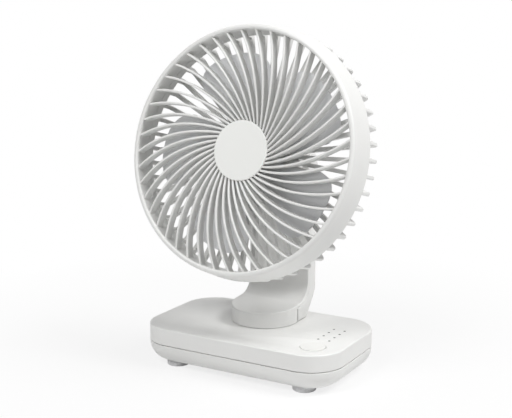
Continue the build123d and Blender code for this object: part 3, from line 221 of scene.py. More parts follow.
def new_object(name, shape):
    """Puts a shape, in millimetres, into the scene as a mesh, in metres."""
    points, quads, caps = shape
    mesh = bpy.data.meshes.new(name)
    mesh.from_pydata((points * MM).tolist(), [], quads.tolist() + [cap.tolist() for cap in caps])
    settle(mesh)
    thing = bpy.data.objects.new(name, mesh)
    bpy.context.scene.collection.objects.link(thing)
    return thing


def cut(thing, tools):
    """Takes the tools' shapes out of an object, and keeps the result as its mesh."""
    for shape in tools:
        tool = new_object("tool", shape)
        modifier = thing.modifiers.new("cut", "BOOLEAN")
        modifier.operation = "DIFFERENCE"
        modifier.solver = "EXACT"
        modifier.object = tool
        shown = thing.evaluated_get(bpy.context.evaluated_depsgraph_get())
        old, thing.data = thing.data, bpy.data.meshes.new_from_object(shown)
        thing.modifiers.clear()
        bpy.data.meshes.remove(old)
        bpy.data.objects.remove(tool)
    settle(thing.data)


def piece(name, shape, body, slot, *nodes, tools=()):
    """Makes one piece, cuts its holes, and tells the frame what it is."""
    thing = new_object(name, shape)
    cut(thing, tools)
    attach(thing, body)
    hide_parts(*nodes)
    made[name] = slot
    print(name, "on", body, "has", len(thing.data.polygons), "faces")


print("edges sharper than", round(np.degrees(HARD_EDGE)), "degrees stay hard")

# %% [markdown]
# ## The head's own frame
# Everything in the head is turned about the motor's axis, so it is easiest to work with that axis
# as z, pointing out of the front, with x to the right and y up. The joint that spins the blades
# gives the origin and the axis.

# %% Head frame
spin = joints["rotor_spin"]
HEAD_Z = unit(np.array(spin["axis"], float))
HEAD_X = np.array([1.0, 0.0, 0.0])
HEAD_AXES = np.array([HEAD_X, np.cross(HEAD_Z, HEAD_X), HEAD_Z])
HEAD_ORIGIN = np.array(spin["pos_m"]) / MM


def in_head(shape):
    """Shape carried from the head's frame to the fan's."""
    return moved(shape, HEAD_ORIGIN, HEAD_AXES)


print("head origin in mm:", np.round(HEAD_ORIGIN, 2).tolist())

# %% [markdown]
# ## Front guard: the ring
# The ring is one moulding with a rounded lip in front, a band that widens towards the back and a
# short hoop inside, which plugs into the rear guard. A bevelled tube would do for a plain ring, but
# not for this section. So the section is drawn once, as (radius, height), and turned.

# %% Guard ring
RING_TURNS = 288
RING_R, LIP_R, BAND_R = 80.8, 84.16, 87.4
RING_FRONT, RING_BACK = 2.7, -16.2
HOOP_R, HOOP_BACK = 82.3, -10.0
BAND_WALL = 1.8
GROOVE_R, GROOVE_FRONT = 82.9, -1.3
ring_corners = [
    (RING_R, HOOP_BACK),
    (RING_R, RING_FRONT),
    (LIP_R, RING_FRONT),
    (BAND_R, RING_BACK),
    (BAND_R - BAND_WALL, RING_BACK),
    (GROOVE_R, GROOVE_FRONT),
    (HOOP_R, GROOVE_FRONT),
    (HOOP_R, HOOP_BACK),
]
ring_rounding = [0.3, 1.4, 2.2, 0.5, 0.3, 0.2, 0.2, 0.3]
ring = lathe(rounded(ring_corners, ring_rounding, support=0.06), RING_TURNS)
piece("guard_ring", in_head(ring), "head", "guard_white", "front_grille")

# %% [markdown]
# ## Front guard: the spiral ribs
# Each rib is an upright slat that leaves the hub, sweeps round by RIB_SWEEP and ends on the ring.
# Seen from the front its middle line is an arc through three points, and seen from the side its
# front edge follows a shallow crown, which is an arc as well. A curve object with a bevel could
# follow that line, but its section could tilt. Here the section, a tall rectangle with a rounded
# front edge, stays upright all along, and that edge is the bright line seen from outside.

# %% Rib lines
RIB_COUNT, RIB_PHASE = 45, 0.8
RIB_SWEEP, RIB_MID_SWEEP = 40.4, 26.8
RIB_START_R, RIB_MID_R, RIB_END_R = 18.4, 50.2, (RING_R + HOOP_R) / 2
RIB_WIDTH, RIB_DEPTH = 1.7, 6.5
RIB_POINTS, CROWN_POINTS = 36, 200
CUP_R = 17.2
CROWN_START, CROWN_MIDDLE, CROWN_END = -2.8, 3.4, 0.9


def polar(radius, degrees):
    """Point at a radius and an angle: (r cos a, r sin a)."""
    angle = np.radians(degrees)
    return np.stack([radius * np.cos(angle), radius * np.sin(angle)], axis=-1)


def arc_through(first, middle, last, count):
    """Points on the circle through three points: its centre is equally far from all of them."""
    first, middle, last = (np.asarray(point, float) for point in (first, middle, last))
    rows = 2 * np.array([middle - first, last - first])
    centre = np.linalg.solve(rows, [middle @ middle - first @ first, last @ last - first @ first])
    angle = np.unwrap([np.arctan2(*(point - centre)[::-1]) for point in (first, middle, last)])
    swing = np.linspace(angle[0], angle[2], count)
    return centre + np.linalg.norm(first - centre) * np.stack([np.cos(swing), np.sin(swing)], axis=-1)


rib_root = polar(RIB_START_R, -RIB_SWEEP)
rib_middle = polar(RIB_MID_R, RIB_MID_SWEEP - RIB_SWEEP)
rib_line = arc_through(rib_root, rib_middle, polar(RIB_END_R, 0.0), RIB_POINTS)
crown_places = (CUP_R, CROWN_START), (RIB_MID_R, CROWN_MIDDLE), (HOOP_R, CROWN_END)
crown = arc_through(*crown_places, CROWN_POINTS)
print("the crown of the ribs rises to", round(crown[:, 1].max(), 2), "mm")

# %% Ribs
half_rib = RIB_WIDTH / 2
rib_corners = [(-half_rib, -RIB_DEPTH), (half_rib, -RIB_DEPTH), (half_rib, 0), (-half_rib, 0)]
rib_section = rounded(rib_corners, [0.2, 0.2, 0.6, 0.6], steps=4, support=0.05)
rib_front = np.interp(np.linalg.norm(rib_line, axis=1), *crown.T)
rib_across = unit(rib_line)[:, ::-1] * [-1, 1]
rib_plan = rib_line[:, None] + rib_across[:, None] * rib_section[None, :, :1]
rib_height = (rib_front[:, None] + rib_section[None, :, 1])[..., None]
rib = wall(np.concatenate([rib_plan, rib_height], axis=-1))
piece("guard_ribs", in_head(spun(rib, RIB_COUNT, RIB_PHASE)), "head", "guard_white")

# %% [markdown]
# ## Front guard: the hub
# The ribs grow out of a shallow cup in the middle, and a plain disc is pressed into it. The disc is
# one of the largest smooth faces of the fan, so its edge gets a generous rounding. Both are round,
# so both are turned.

# %% Hub
HUB_R, HUB_FRONT = 19.6, -2.2
HUB_BACK = HUB_FRONT - RIB_DEPTH
CUP_FLOOR = -4.6
DISC_R, DISC_FRONT = 20.4, -0.9
hub_corners = [
    (0, HUB_FRONT),
    (HUB_R, HUB_FRONT),
    (HUB_R, HUB_BACK),
    (CUP_R, HUB_BACK),
    (CUP_R, CUP_FLOOR),
    (0, CUP_FLOOR),
]
hub = lathe(rounded(hub_corners, 0.2, closed=False))
piece("guard_hub", in_head(hub), "head", "guard_white")
disc_corners = [(0, DISC_FRONT), (DISC_R, DISC_FRONT), (DISC_R, HUB_FRONT), (0, HUB_FRONT)]
disc = lathe(rounded(disc_corners, [0.8, 0.15], closed=False), turns=192)
piece("hub_disc", in_head(disc), "head", "hub_white", "hub_cap")

# %% [markdown]
# ## Rear guard
# The rear guard has a rim inside the ring, radial fins that run straight back, turn a rounded
# corner and go in to the middle, and a plate that carries the motor. A fin could be extruded from
# its side view, but then its edges would be square. So it has an outer and an inner edge line with
# the same number of points, and a section with soft corners lies between the two.

# %% Rear rim and middle plate
LEDGE = -10.1
RIM_FRONT, RIM_INNER_R, RIM_R = -9.2, 82.45, 83.95
FLANGE_FRONT, FLANGE_R = -14.2, 85.2
PLATE_BORE, PLATE_R, PLATE_FRONT = 5.4, 31.0, -27.0
FIN_BACK = -30.0
rim_corners = [
    (RING_R, RING_BACK),
    (RING_R, LEDGE),
    (RIM_INNER_R, LEDGE),
    (RIM_INNER_R, RIM_FRONT),
    (RIM_R, RIM_FRONT),
    (RIM_R, FLANGE_FRONT),
    (FLANGE_R, FLANGE_FRONT),
    (FLANGE_R, RING_BACK),
]
rim = lathe(rounded(rim_corners, 0.12, support=0.03), RING_TURNS)
plate_corners = [
    (PLATE_BORE, FIN_BACK),
    (PLATE_R, FIN_BACK),
    (PLATE_R, PLATE_FRONT),
    (PLATE_BORE, PLATE_FRONT),
]
plate = lathe(rounded(plate_corners, 0.4))
print("the rear rim leaves", round(RIM_INNER_R - HOOP_R, 2), "mm round the hoop")

# %% Fins
FIN_COUNT, FIN_PHASE = 50, 1.3
FIN_R, FIN_INNER_R, FIN_END_R = 87.2, 82.0, 29.0
FIN_DEPTH, FIN_HALF = 4.5, 1.4
FIN_CORNER, FIN_INNER_CORNER = 2.6, 1.2
FIN_GAP, FIN_OVERLAP = 0.15, 1.0
fin_inside = FIN_BACK + FIN_DEPTH
outer_corners = [(FIN_R, RING_BACK - FIN_GAP), (FIN_R, FIN_BACK), (FIN_END_R, FIN_BACK)]
outer_edge = rounded(outer_corners, FIN_CORNER, steps=10, closed=False)
inner_corners = [
    (FIN_INNER_R, RING_BACK + FIN_OVERLAP),
    (FIN_INNER_R, fin_inside),
    (FIN_END_R, fin_inside),
]
inner_edge = rounded(inner_corners, FIN_INNER_CORNER, steps=10, closed=False)
fin_corners = [(-FIN_HALF, 0), (FIN_HALF, 0), (FIN_HALF, FIN_DEPTH), (-FIN_HALF, FIN_DEPTH)]
fin_section = rounded(fin_corners, [0.25, 0.25, 0.8, 0.8], steps=4, support=0.05)
share = fin_section[None, :, 1:] / FIN_DEPTH
fin_plan = inner_edge[:, None] * (1 - share) + outer_edge[:, None] * share
fin_side = np.broadcast_to(fin_section[:, :1], fin_plan.shape[:2] + (1,))
fin = wall(np.concatenate([fin_plan[..., :1], fin_side, fin_plan[..., 1:]], axis=-1))
rear_shape = together(rim, spun(fin, FIN_COUNT, FIN_PHASE), plate)
piece("rear_guard", in_head(rear_shape), "head", "guard_white", "rear_grille")

# %% [markdown]
# ## Blades
# Five broad blades stand on a hub that covers the motor. In plan a blade grows from its root to its
# widest place and ends in a broad, blunt tip. Its height is a flat pitch, steeper near the hub, plus
# a shallow camber across the chord, kept within the hub's depth so that it clears the ribs. A sheet
# with a Solidify modifier would be even in thickness. Here the upper and the lower face are two
# sheets of their own, and each row of points runs out along one and back along the other.

# %% Blade plan
BLADE_COUNT, BLADE_PHASE = 5, 31.0
BLADE_ROOT, BLADE_WIDE, BLADE_TIP = 18.4, 56.0, 69.5
BLADE_HALF, ROOT_NARROWING = 25.0, 16.0
ROOT_FLARE, TIP_BLUNTNESS = 0.9, 4
BLADE_HUB_R = 19.3
TIP_LEAN = np.radians(8.0)
BLADE_ROWS, CHORD_POINTS = 40, 21
reach = np.sin(np.linspace(0, np.pi / 2, BLADE_ROWS))[:, None]
radius = BLADE_ROOT + (BLADE_TIP - BLADE_ROOT) * reach
towards_root = np.clip((BLADE_WIDE - radius) / (BLADE_WIDE - BLADE_ROOT), 0, 1)
towards_tip = np.clip((radius - BLADE_WIDE) / (BLADE_TIP - BLADE_WIDE), 0, 1)
blunt_tip = (1 - towards_tip**TIP_BLUNTNESS) ** (1 / TIP_BLUNTNESS)
half_chord = (BLADE_HALF - ROOT_NARROWING * towards_root**ROOT_FLARE) * blunt_tip
chord = np.linspace(-1, 1, CHORD_POINTS)
out_and_back = np.concatenate([chord, chord[::-1]])[None]
lean = TIP_LEAN * (radius - BLADE_HUB_R) / (BLADE_TIP - BLADE_HUB_R)
angle = lean + np.arcsin(half_chord * out_and_back / radius)
plan_x, plan_y = radius * np.cos(angle), radius * np.sin(angle)
print("a blade is", round(2 * half_chord.max(), 1), "mm broad at its widest")

# %% Blades and blade hub
BLADE_MIDDLE = -17.6
BLADE_FRONT, BLADE_BACK = -10.6, -22.6
BLADE_SKIN = 1.2
PITCH_RADII, PITCH_DEGREES = [18.4, 37.7, 70.9], [28.0, 15.0, 10.5]
CAMBER_REACH, UPPER_CAMBER, LOWER_CAMBER = 36.0, 3.4, 2.0
ROTOR_BORE, ROTOR_CEILING = 17.54, -12.4
pitch = np.radians(np.polyval(np.polyfit(PITCH_RADII, PITCH_DEGREES, 2), plan_x))
upper = (np.arange(2 * CHORD_POINTS) < CHORD_POINTS)[None]
bow = 1 - (plan_y / np.cos(pitch) / CAMBER_REACH) ** 2
camber = np.where(upper, UPPER_CAMBER, LOWER_CAMBER) * bow
blade_height = BLADE_MIDDLE + plan_y * np.tan(pitch) + camber / np.cos(pitch)
lowest = np.where(upper, BLADE_BACK + BLADE_SKIN, BLADE_BACK)
highest = np.where(upper, BLADE_FRONT, BLADE_FRONT - BLADE_SKIN)
blade = wall(np.stack([plan_x, plan_y, np.clip(blade_height, lowest, highest)], axis=-1))
blade_hub_corners = [
    (0, BLADE_FRONT),
    (BLADE_HUB_R, BLADE_FRONT),
    (BLADE_HUB_R, BLADE_BACK),
    (ROTOR_BORE, BLADE_BACK),
    (ROTOR_BORE, ROTOR_CEILING),
    (0, ROTOR_CEILING),
]
blade_hub = lathe(rounded(blade_hub_corners, [1.5, 0.3, 0.3, 0.3], closed=False))
blade_shape = together(spun(blade, BLADE_COUNT, BLADE_PHASE), blade_hub)
piece("blades", in_head(blade_shape), "rotor", "blade_white", "fan_blades")

# %% [markdown]
# ## Motor housing and neck
# Behind the rear guard a round cover hides the motor, and a short neck reaches back from it to the
# hinge. The cover is turned. The neck is a flat slab with a round end about the hinge pin. Its front
# end runs into the cover's wall, so the two look like one moulding without a Boolean.

# %% Housing
HOUSING_R, HOUSING_WALL = 29.0, 2.0
HOUSING_FRONT, HOUSING_BACK = -30.05, -45.5
HOUSING_BEND, HOUSING_INNER_BEND = 9.0, 7.0
HINGE_BACK, KNUCKLE_R = -62.7, 7.5
NECK_FRONT, NECK_HALF, NECK_EDGE = -44.5, 7.1, 0.9
ARC_ROOM = 0.05
NECK_BEND = KNUCKLE_R - ARC_ROOM
housing_inner = HOUSING_R - HOUSING_WALL
housing_floor = HOUSING_BACK + HOUSING_WALL
housing_corners = [
    (0, HOUSING_BACK),
    (HOUSING_R, HOUSING_BACK),
    (HOUSING_R, HOUSING_FRONT),
    (housing_inner, HOUSING_FRONT),
    (housing_inner, housing_floor),
    (0, housing_floor),
]
housing_rounding = [HOUSING_BEND, 0.4, 0.3, HOUSING_INNER_BEND]
housing = lathe(rounded(housing_corners, housing_rounding, steps=10, closed=False))
neck_back = HINGE_BACK - KNUCKLE_R
neck_corners = [
    (-KNUCKLE_R, NECK_FRONT),
    (KNUCKLE_R, NECK_FRONT),
    (KNUCKLE_R, neck_back),
    (-KNUCKLE_R, neck_back),
]
neck_outline = rounded(neck_corners, [1.0, 1.0, NECK_BEND, NECK_BEND], steps=16, support=0.02)
housing_shape = together(housing, slab(neck_outline, NECK_HALF, NECK_EDGE))
piece("motor_cover", in_head(housing_shape), "head", "shell_white", "motor_housing")

# %% [markdown]
# ## Arm: the front cover
# The front cover is the scoop. It could be cut from a block with Booleans and bevels, but the rim
# that runs round the collar and up the arm would break at each joint. Instead one closed section, a
# plate with rounded rims, first goes round the collar, where its rims reach down to the foot, and
# then climbs the scoop and the arm, where it is just a plate. Round the collar each half of the
# section lies on a ray from the swivel's axis.

# %% Section of the arm's front
SWIVEL_Y = 12.5
COLLAR_R = 24.3
ARM_FOOT = 29.8
ARM_SKIN = 2.2
ARM_EDGE = 0.8
EDGE_POINTS, EDGE_SUPPORT = 7, 0.2
FLAT_RADII = [0, 6, 12, 18, COLLAR_R - ARM_EDGE - EDGE_SUPPORT]
FOOT_DRAFT = 0.1
edge_angle = np.linspace(0, np.pi / 2, EDGE_POINTS)
plate_r = np.concatenate([FLAT_RADII, COLLAR_R - ARM_EDGE * (1 - np.sin(edge_angle))])
plate_drop = np.concatenate([np.zeros(len(FLAT_RADII)), ARM_EDGE * (1 - np.cos(edge_angle))])
skin_r = COLLAR_R - ARM_SKIN
section_r = np.concatenate([plate_r, [COLLAR_R, COLLAR_R - FOOT_DRAFT, skin_r, skin_r, 0]])
section_drop = np.concatenate([plate_drop, [0, 0, 0, ARM_SKIN, ARM_SKIN]])
at_foot = np.array([False] * len(plate_r) + [True, True, True, False, False])
print("half the arm's section has", len(section_r), "points")

# %% Path of the arm's front
FACE_Y, FACE_TOP = 32.0, 124.3
SPLIT_Y = 15.0
SCOOP_LOW, SCOOP_HIGH, SCOOP_BEND = 40.4, 43.4, 13.0
COLLAR_STEPS = 25
COLLAR_FRONT = SWIVEL_Y - COLLAR_R
SCOOP_SLOPE = (SCOOP_HIGH - SCOOP_LOW) / (FACE_Y - COLLAR_FRONT)


def scoop_height(y):
    """Straight slope from the collar's front rim to the arm's face: low end plus slope times run."""
    return SCOOP_LOW + SCOOP_SLOPE * (y - COLLAR_FRONT)


climb_corners = [(SPLIT_Y, scoop_height(SPLIT_Y)), (FACE_Y, SCOOP_HIGH), (FACE_Y, FACE_TOP)]
climb = rounded(climb_corners, SCOOP_BEND, steps=16, closed=False)
climb_down = unit(np.gradient(climb, axis=0)) @ np.array([[0, -1], [1, 0]])
collar_angle = np.radians(np.linspace(0, 90, COLLAR_STEPS))
collar_ray = np.stack([np.sin(collar_angle), -np.cos(collar_angle)], axis=1)
ray = np.concatenate([collar_ray, np.tile([1.0, 0.0], (len(climb) + 1, 1))])
start_y = np.concatenate([np.full(COLLAR_STEPS, SWIVEL_Y), [SPLIT_Y], climb[:, 0]])
start_z = np.concatenate([np.full(COLLAR_STEPS, scoop_height(SWIVEL_Y)), climb[:1, 1], climb[:, 1]])
down = np.concatenate([np.tile([0.0, -1.0], (COLLAR_STEPS + 1, 1)), climb_down])
print("the arm's front has its section at", len(start_y), "places")

# %% Arm front
row = np.arange(len(start_y))[:, None]
slope = np.where(row < COLLAR_STEPS, SCOOP_SLOPE, 0.0)
side_y = start_y[:, None] + section_r * ray[:, 1:]
top_z = start_z[:, None] + slope * (side_y - start_y[:, None])
rim_drop = np.where(row <= COLLAR_STEPS, top_z - ARM_FOOT, ARM_SKIN)
drop = np.where(at_foot, rim_drop, section_drop)
side_x = section_r * ray[:, :1]
half_section = np.stack([side_x, side_y + drop * down[:, :1], top_z + drop * down[:, 1:]], axis=-1)
section = np.concatenate([half_section, (half_section * [-1, 1, 1])[:, ::-1]], axis=1)
piece("arm_face", wall(section), "arm", "shell_white", "arm_front_cover")

# %% [markdown]
# ## Arm: the back cover
# The back cover is a slab cut to the arm's side view: the heel, the straight back, the round knuckle
# of the hinge and, in front, the step that the front cover lies in. A slot for the neck and four
# sunk holes for the screws are cut out of it with Booleans, because they run across the slab.

# %% Side view of the arm's back
PIVOT = np.array(joints["head_tilt"]["pos_m"]) / MM
BACK_Y = 43.3
HEEL_Y, HEEL_TOP, HEEL_BEND = 29.5, 46.7, 13.0
PART_LINE, SPLIT_GAP = 0.25, 0.6
STEP_BEND = 15.4
KNUCKLE_POINTS = 40
step_y = FACE_Y + ARM_SKIN + PART_LINE
step_top = FACE_TOP + PART_LINE
split_y = SPLIT_Y + SPLIT_GAP
side_corners = [
    (FACE_Y, PIVOT[2]),
    (FACE_Y, step_top),
    (step_y, step_top),
    (step_y, SCOOP_HIGH - ARM_SKIN - PART_LINE),
    (split_y, scoop_height(SPLIT_Y) - ARM_SKIN - PART_LINE),
    (split_y, ARM_FOOT),
    (HEEL_Y, ARM_FOOT),
    (BACK_Y, HEEL_TOP),
    (BACK_Y, PIVOT[2]),
]
side_rounding = [0.9, 0.9, STEP_BEND, 0.3, 0.3, 0.9, HEEL_BEND]
below_hinge = rounded(side_corners, side_rounding, steps=12, support=0.05, closed=False)[1:-1]
knuckle_start = np.arcsin((BACK_Y - FACE_Y) / 2 / KNUCKLE_R)
knuckle_angle = np.linspace(np.pi - knuckle_start, knuckle_start - np.pi, KNUCKLE_POINTS)
knuckle_ray = np.stack([np.sin(knuckle_angle), np.cos(knuckle_angle)], axis=1)
arm_outline = np.concatenate([below_hinge, PIVOT[1:] + KNUCKLE_R * knuckle_ray])
print("the hinge pin lies at", np.round(PIVOT, 2).tolist(), "in mm")

# %% Arm back
SCREW_X, SCREW_ROWS = 13.0, (62.0, 108.0)
SINK_R, SINK_RIM_R, SINK_DEPTH, SINK_FLARE = 2.45, 2.75, 1.3, 0.3
SLOT_HALF, SLOT_FLOOR = 7.9, 126.5
ABOVE_ARM, THROUGH_ARM, BEHIND_ARM = 160.0, (20.0, 60.0), 1.0
BACKWARD = np.array([[1, 0, 0], [0, 0, -1], [0, 1, 0]])
slot_corners = [
    (-SLOT_HALF, SLOT_FLOOR),
    (SLOT_HALF, SLOT_FLOOR),
    (SLOT_HALF, ABOVE_ARM),
    (-SLOT_HALF, ABOVE_ARM),
]
sink_profile = [
    (0, -SINK_DEPTH),
    (SINK_R, -SINK_DEPTH),
    (SINK_R, 0),
    (SINK_RIM_R, SINK_FLARE),
    (SINK_RIM_R, BEHIND_ARM),
    (0, BEHIND_ARM),
]
sink = lathe(sink_profile, turns=32)
sinks = [moved(sink, (x, BACK_Y, z), BACKWARD) for x in (-SCREW_X, SCREW_X) for z in SCREW_ROWS]
arm_tools = [prism(slot_corners, 1, THROUGH_ARM), together(*sinks)]
arm_slab = slab(arm_outline, COLLAR_R, ARM_EDGE)
piece("arm_back", arm_slab, "arm", "shell_white", "arm_rear_cover", tools=arm_tools)

# %% [markdown]
# ## Arm: the drum in the collar
# The round drum of the foot stands inside the collar. On each side a narrow slit shows where the
# arm's two covers meet. A dark line could be painted there, but a slit cut into the drum is dark by
# itself, from every side.

# %% Arm drum
FOOT_RELIEF = 0.02
DRUM_FOOT, DRUM_R, DRUM_TOP = ARM_FOOT + FOOT_RELIEF, 24.25, 39.2
SLIT_FOOT, SLIT_TOP = ARM_FOOT + ARM_SKIN, 39.0
SLIT_IN, SLIT_OUT = 20.0, 26.0
drum_corners = [(0, DRUM_FOOT), (DRUM_R, DRUM_FOOT), (DRUM_R, DRUM_TOP), (0, DRUM_TOP)]
drum = moved(lathe(rounded(drum_corners, [0.3, 0.5], closed=False)), (0, SWIVEL_Y, 0))
slit_plan = [(SLIT_IN, SPLIT_Y), (SLIT_OUT, SPLIT_Y), (SLIT_OUT, split_y), (SLIT_IN, split_y)]
slits = [prism(np.array(slit_plan) * [side, 1], 2, (SLIT_FOOT, SLIT_TOP)) for side in (1, -1)]
piece("arm_drum", drum, "arm", "shell_white", tools=[together(*slits)])

# %% [markdown]
# ## Hinge caps
# A small round cap closes each end of the hinge pin. A bevelled cylinder would do, but the lathe also
# gives the face a softer edge than the back. One cap is turned and laid along x, and the other is
# its mirror image.

# %% Hinge caps
CAP_R, CAP_IN, CAP_OUT = 5.0, 22.9, 24.5
SIDEWAYS = np.array([[0, 1, 0], [0, 0, 1], [1, 0, 0]])
cap_corners = [(0, CAP_IN), (CAP_R, CAP_IN), (CAP_R, CAP_OUT), (0, CAP_OUT)]
cap = lathe(rounded(cap_corners, [0.1, 0.35], closed=False), turns=64)
both_caps = [moved(cap, (0, *PIVOT[1:]), SIDEWAYS * [side, 1, 1]) for side in (1, -1)]
piece("pin_caps", together(*both_caps), "arm", "shell_white", "hinge_caps")

# %% [markdown]
# ## Base shells
# The base is two shells that meet at a thin seam. The upper one is a flat lid with straight sides, the
# lower one curves under. A bevelled cube would need a weight for every edge and a second cube for
# the inside. So each shell is a profile of (inset, height) carried round the same rounded rectangle.
# The profile runs from the inside, round the rim and back over the outside.

# %% Base tray
BASE_X = 2.5
BASE_HALF = np.array([75.0, 44.5])
BASE_CORNER = 24.5
SEAM_LOW, SEAM_HIGH = 17.15, 17.65
TRAY_BOTTOM, TRAY_FLOOR, TRAY_MIDDLE = 3.0, 5.2, 16.0
TRAY_WALL, TONGUE_INSET, TONGUE_TOP = 3.6, 2.45, 19.4
TRAY_BEND, TRAY_INNER_BEND = 13.5, 9.0
RECTANGLE = np.array([(-1, -1), (1, -1), (1, 1), (-1, 1)])


def base_loop(inset, height):
    """The base's plan, a rounded rectangle, drawn in by inset at one height."""
    corners = RECTANGLE * (BASE_HALF - inset)
    outline = rounded(corners, BASE_CORNER - inset, steps=20, support=0.5)
    return np.column_stack([outline[:, 0] + BASE_X, outline[:, 1], np.full(len(outline), height)])


def base_shell(profile):
    """A base loop at each point of a profile, joined into a wall."""
    return wall(np.array([base_loop(inset, height) for inset, height in profile]))


tray_corners = [
    (TRAY_MIDDLE, TRAY_FLOOR),
    (TRAY_WALL, TRAY_FLOOR),
    (TRAY_WALL, TONGUE_TOP),
    (TONGUE_INSET, TONGUE_TOP),
    (TONGUE_INSET, SEAM_LOW),
    (0, SEAM_LOW),
    (0, TRAY_BOTTOM),
    (TRAY_MIDDLE, TRAY_BOTTOM),
]
tray_rounding = [TRAY_INNER_BEND, 0.2, 0.2, 0.2, 0.35, TRAY_BEND]
tray_profile = rounded(tray_corners, tray_rounding, steps=10, closed=False)
piece("base_tray", base_shell(tray_profile), "base", "shell_white", "base_bottom_cover")

# %% [markdown]
# ## Holes in the lid
# The lid has a hole for the button, eight small ones for the lamps, the turntable's seat and the mouth
# of the charging socket. Each drill flares a little where it leaves the surface, which leaves the
# hole with a softened rim. A Bevel modifier after the cut would catch other edges as well.

# %% Drills for the lid
BASE_TOP = 29.4
BELOW_LID, ABOVE_LID = 20.0, 35.0
BUTTON = np.array([BASE_X + 55.0, -25.5])
BUTTON_R, BUTTON_GAP, BUTTON_FLARE = 8.5, 0.3, 0.3
LAMP_COLUMNS, LAMP_ROWS = 2, 4
LAMP_FIRST = np.array([BASE_X + 50.95, -9.48])
LAMP_STEP = np.array([8.17, 8.02])
LAMP_R, LAMP_FLARE = 0.85, 0.15
FLARE_POINTS = 4


def drill(radius, flare, x, y, turns):
    """Cylinder whose last bit opens along a quarter arc of radius flare, so the rim is rounded."""
    b = np.linspace(0, np.pi / 2, FLARE_POINTS)
    lip = np.column_stack([radius + flare * (1 - np.cos(b)), BASE_TOP - flare * (1 - np.sin(b))])
    shank = [(0, BELOW_LID), (radius, BELOW_LID)]
    end = [(radius + flare, ABOVE_LID), (0, ABOVE_LID)]
    return moved(lathe(np.concatenate([shank, lip, end]), turns), (x, y, 0))


lamp_grid = np.stack(np.meshgrid(range(LAMP_COLUMNS), range(LAMP_ROWS), indexing="ij"), axis=-1)
lamp_places = LAMP_FIRST + LAMP_STEP * lamp_grid.reshape(-1, 2)
lamp_drills = together(*[drill(LAMP_R, LAMP_FLARE, *place, turns=24) for place in lamp_places])
button_drill = drill(BUTTON_R + BUTTON_GAP, BUTTON_FLARE, *BUTTON, turns=96)
print("the lid gets", len(lamp_places), "lamp holes and one for the button")

# %% Base lid
LID_CEILING, LID_WALL, LID_MIDDLE, LID_EDGE = 27.0, 2.2, 4.0, 1.1
SPINDLE_R, SEAT_R, SEAT_FLOOR = 9.05, 21.9, 28.8
SOCKET_HALF, SOCKET_CORNER = np.array([4.65, 1.8]), 1.78
SOCKET_X, SOCKET_Z = BASE_X + 42.0, 21.4
THROUGH_BACK = (40.0, 50.0)
lid_corners = [
    (LID_MIDDLE, LID_CEILING),
    (LID_WALL, LID_CEILING),
    (LID_WALL, SEAM_HIGH),
    (0, SEAM_HIGH),
    (0, BASE_TOP),
    (LID_MIDDLE, BASE_TOP),
]
lid_profile = rounded(lid_corners, [0.3, 0.2, 0.35, LID_EDGE], support=0.25, closed=False)
seat_profile = [
    (0, BELOW_LID),
    (SPINDLE_R, BELOW_LID),
    (SPINDLE_R, SEAT_FLOOR),
    (SEAT_R, SEAT_FLOOR),
    (SEAT_R, ABOVE_LID),
    (0, ABOVE_LID),
]
seat_tool = moved(lathe(seat_profile, turns=96), (0, SWIVEL_Y, 0))
socket_outline = rounded(RECTANGLE * SOCKET_HALF, SOCKET_CORNER, support=0.01)
socket_tool = moved(prism(socket_outline, 1, THROUGH_BACK), (SOCKET_X, 0, SOCKET_Z))
lid_tools = [seat_tool, button_drill, lamp_drills, socket_tool]
lid_shape = base_shell(lid_profile)
piece("base_lid", lid_shape, "base", "shell_white", "base_top_cover", tools=lid_tools)

# %% [markdown]
# ## Button and feet
# The button is a turned disc that stands a little proud, with a flange that keeps it under the lid.
# The four feet are turned rubber discs with a rounded lower edge. Bevelled cylinders would look much
# the same from far off, but a profile has room for the flange and for two kinds of edge.

# %% Button and feet
BUTTON_TOP, BUTTON_FOOT = 29.75, 25.5
KEEPER_R, KEEPER_TOP = 9.7, 26.8
FOOT_R, FOOT_HEIGHT, FOOT_X, FOOT_Y = 8.0, 4.0, 50.4, 28.2
button_corners = [
    (0, BUTTON_TOP),
    (BUTTON_R, BUTTON_TOP),
    (BUTTON_R, KEEPER_TOP),
    (KEEPER_R, KEEPER_TOP),
    (KEEPER_R, BUTTON_FOOT),
    (0, BUTTON_FOOT),
]
button = moved(lathe(rounded(button_corners, [0.4, 0.1, 0.2, 0.2], closed=False)), (*BUTTON, 0))
piece("button_disc", button, "button", "button_white", "power_button")
foot_corners = [(0, FOOT_HEIGHT), (FOOT_R, FOOT_HEIGHT), (FOOT_R, 0), (0, 0)]
foot = lathe(rounded(foot_corners, [0.2, 0.9], closed=False), turns=64)
feet = [moved(foot, (BASE_X + x, y, 0)) for x in (-FOOT_X, FOOT_X) for y in (-FOOT_Y, FOOT_Y)]
piece("feet", together(*feet), "base", "foot_rubber", "rubber_feet")

# %% [markdown]
# ## Finishes
# The fan is nearly all white plastic, so small things carry the look: a slow drift of tone, a satin
# gloss that is not quite even and the fine grain of the mould. Pictures of plastic could be laid on
# the pieces, but they need an unwrapped surface and show their seams. So all of it comes from noise
# in Object coordinates, in metres: a scale of 2500 gives grains of less than half a millimetre.

# %% Node helpers
NOISE_LOW, NOISE_HIGH = 0.3, 0.7


def new_material(name):
    """A material with its node tree and its main shader."""
    material = bpy.data.materials.new(name)
    material.use_nodes = True
    tree = material.node_tree
    return material, tree, tree.nodes["Principled BSDF"]


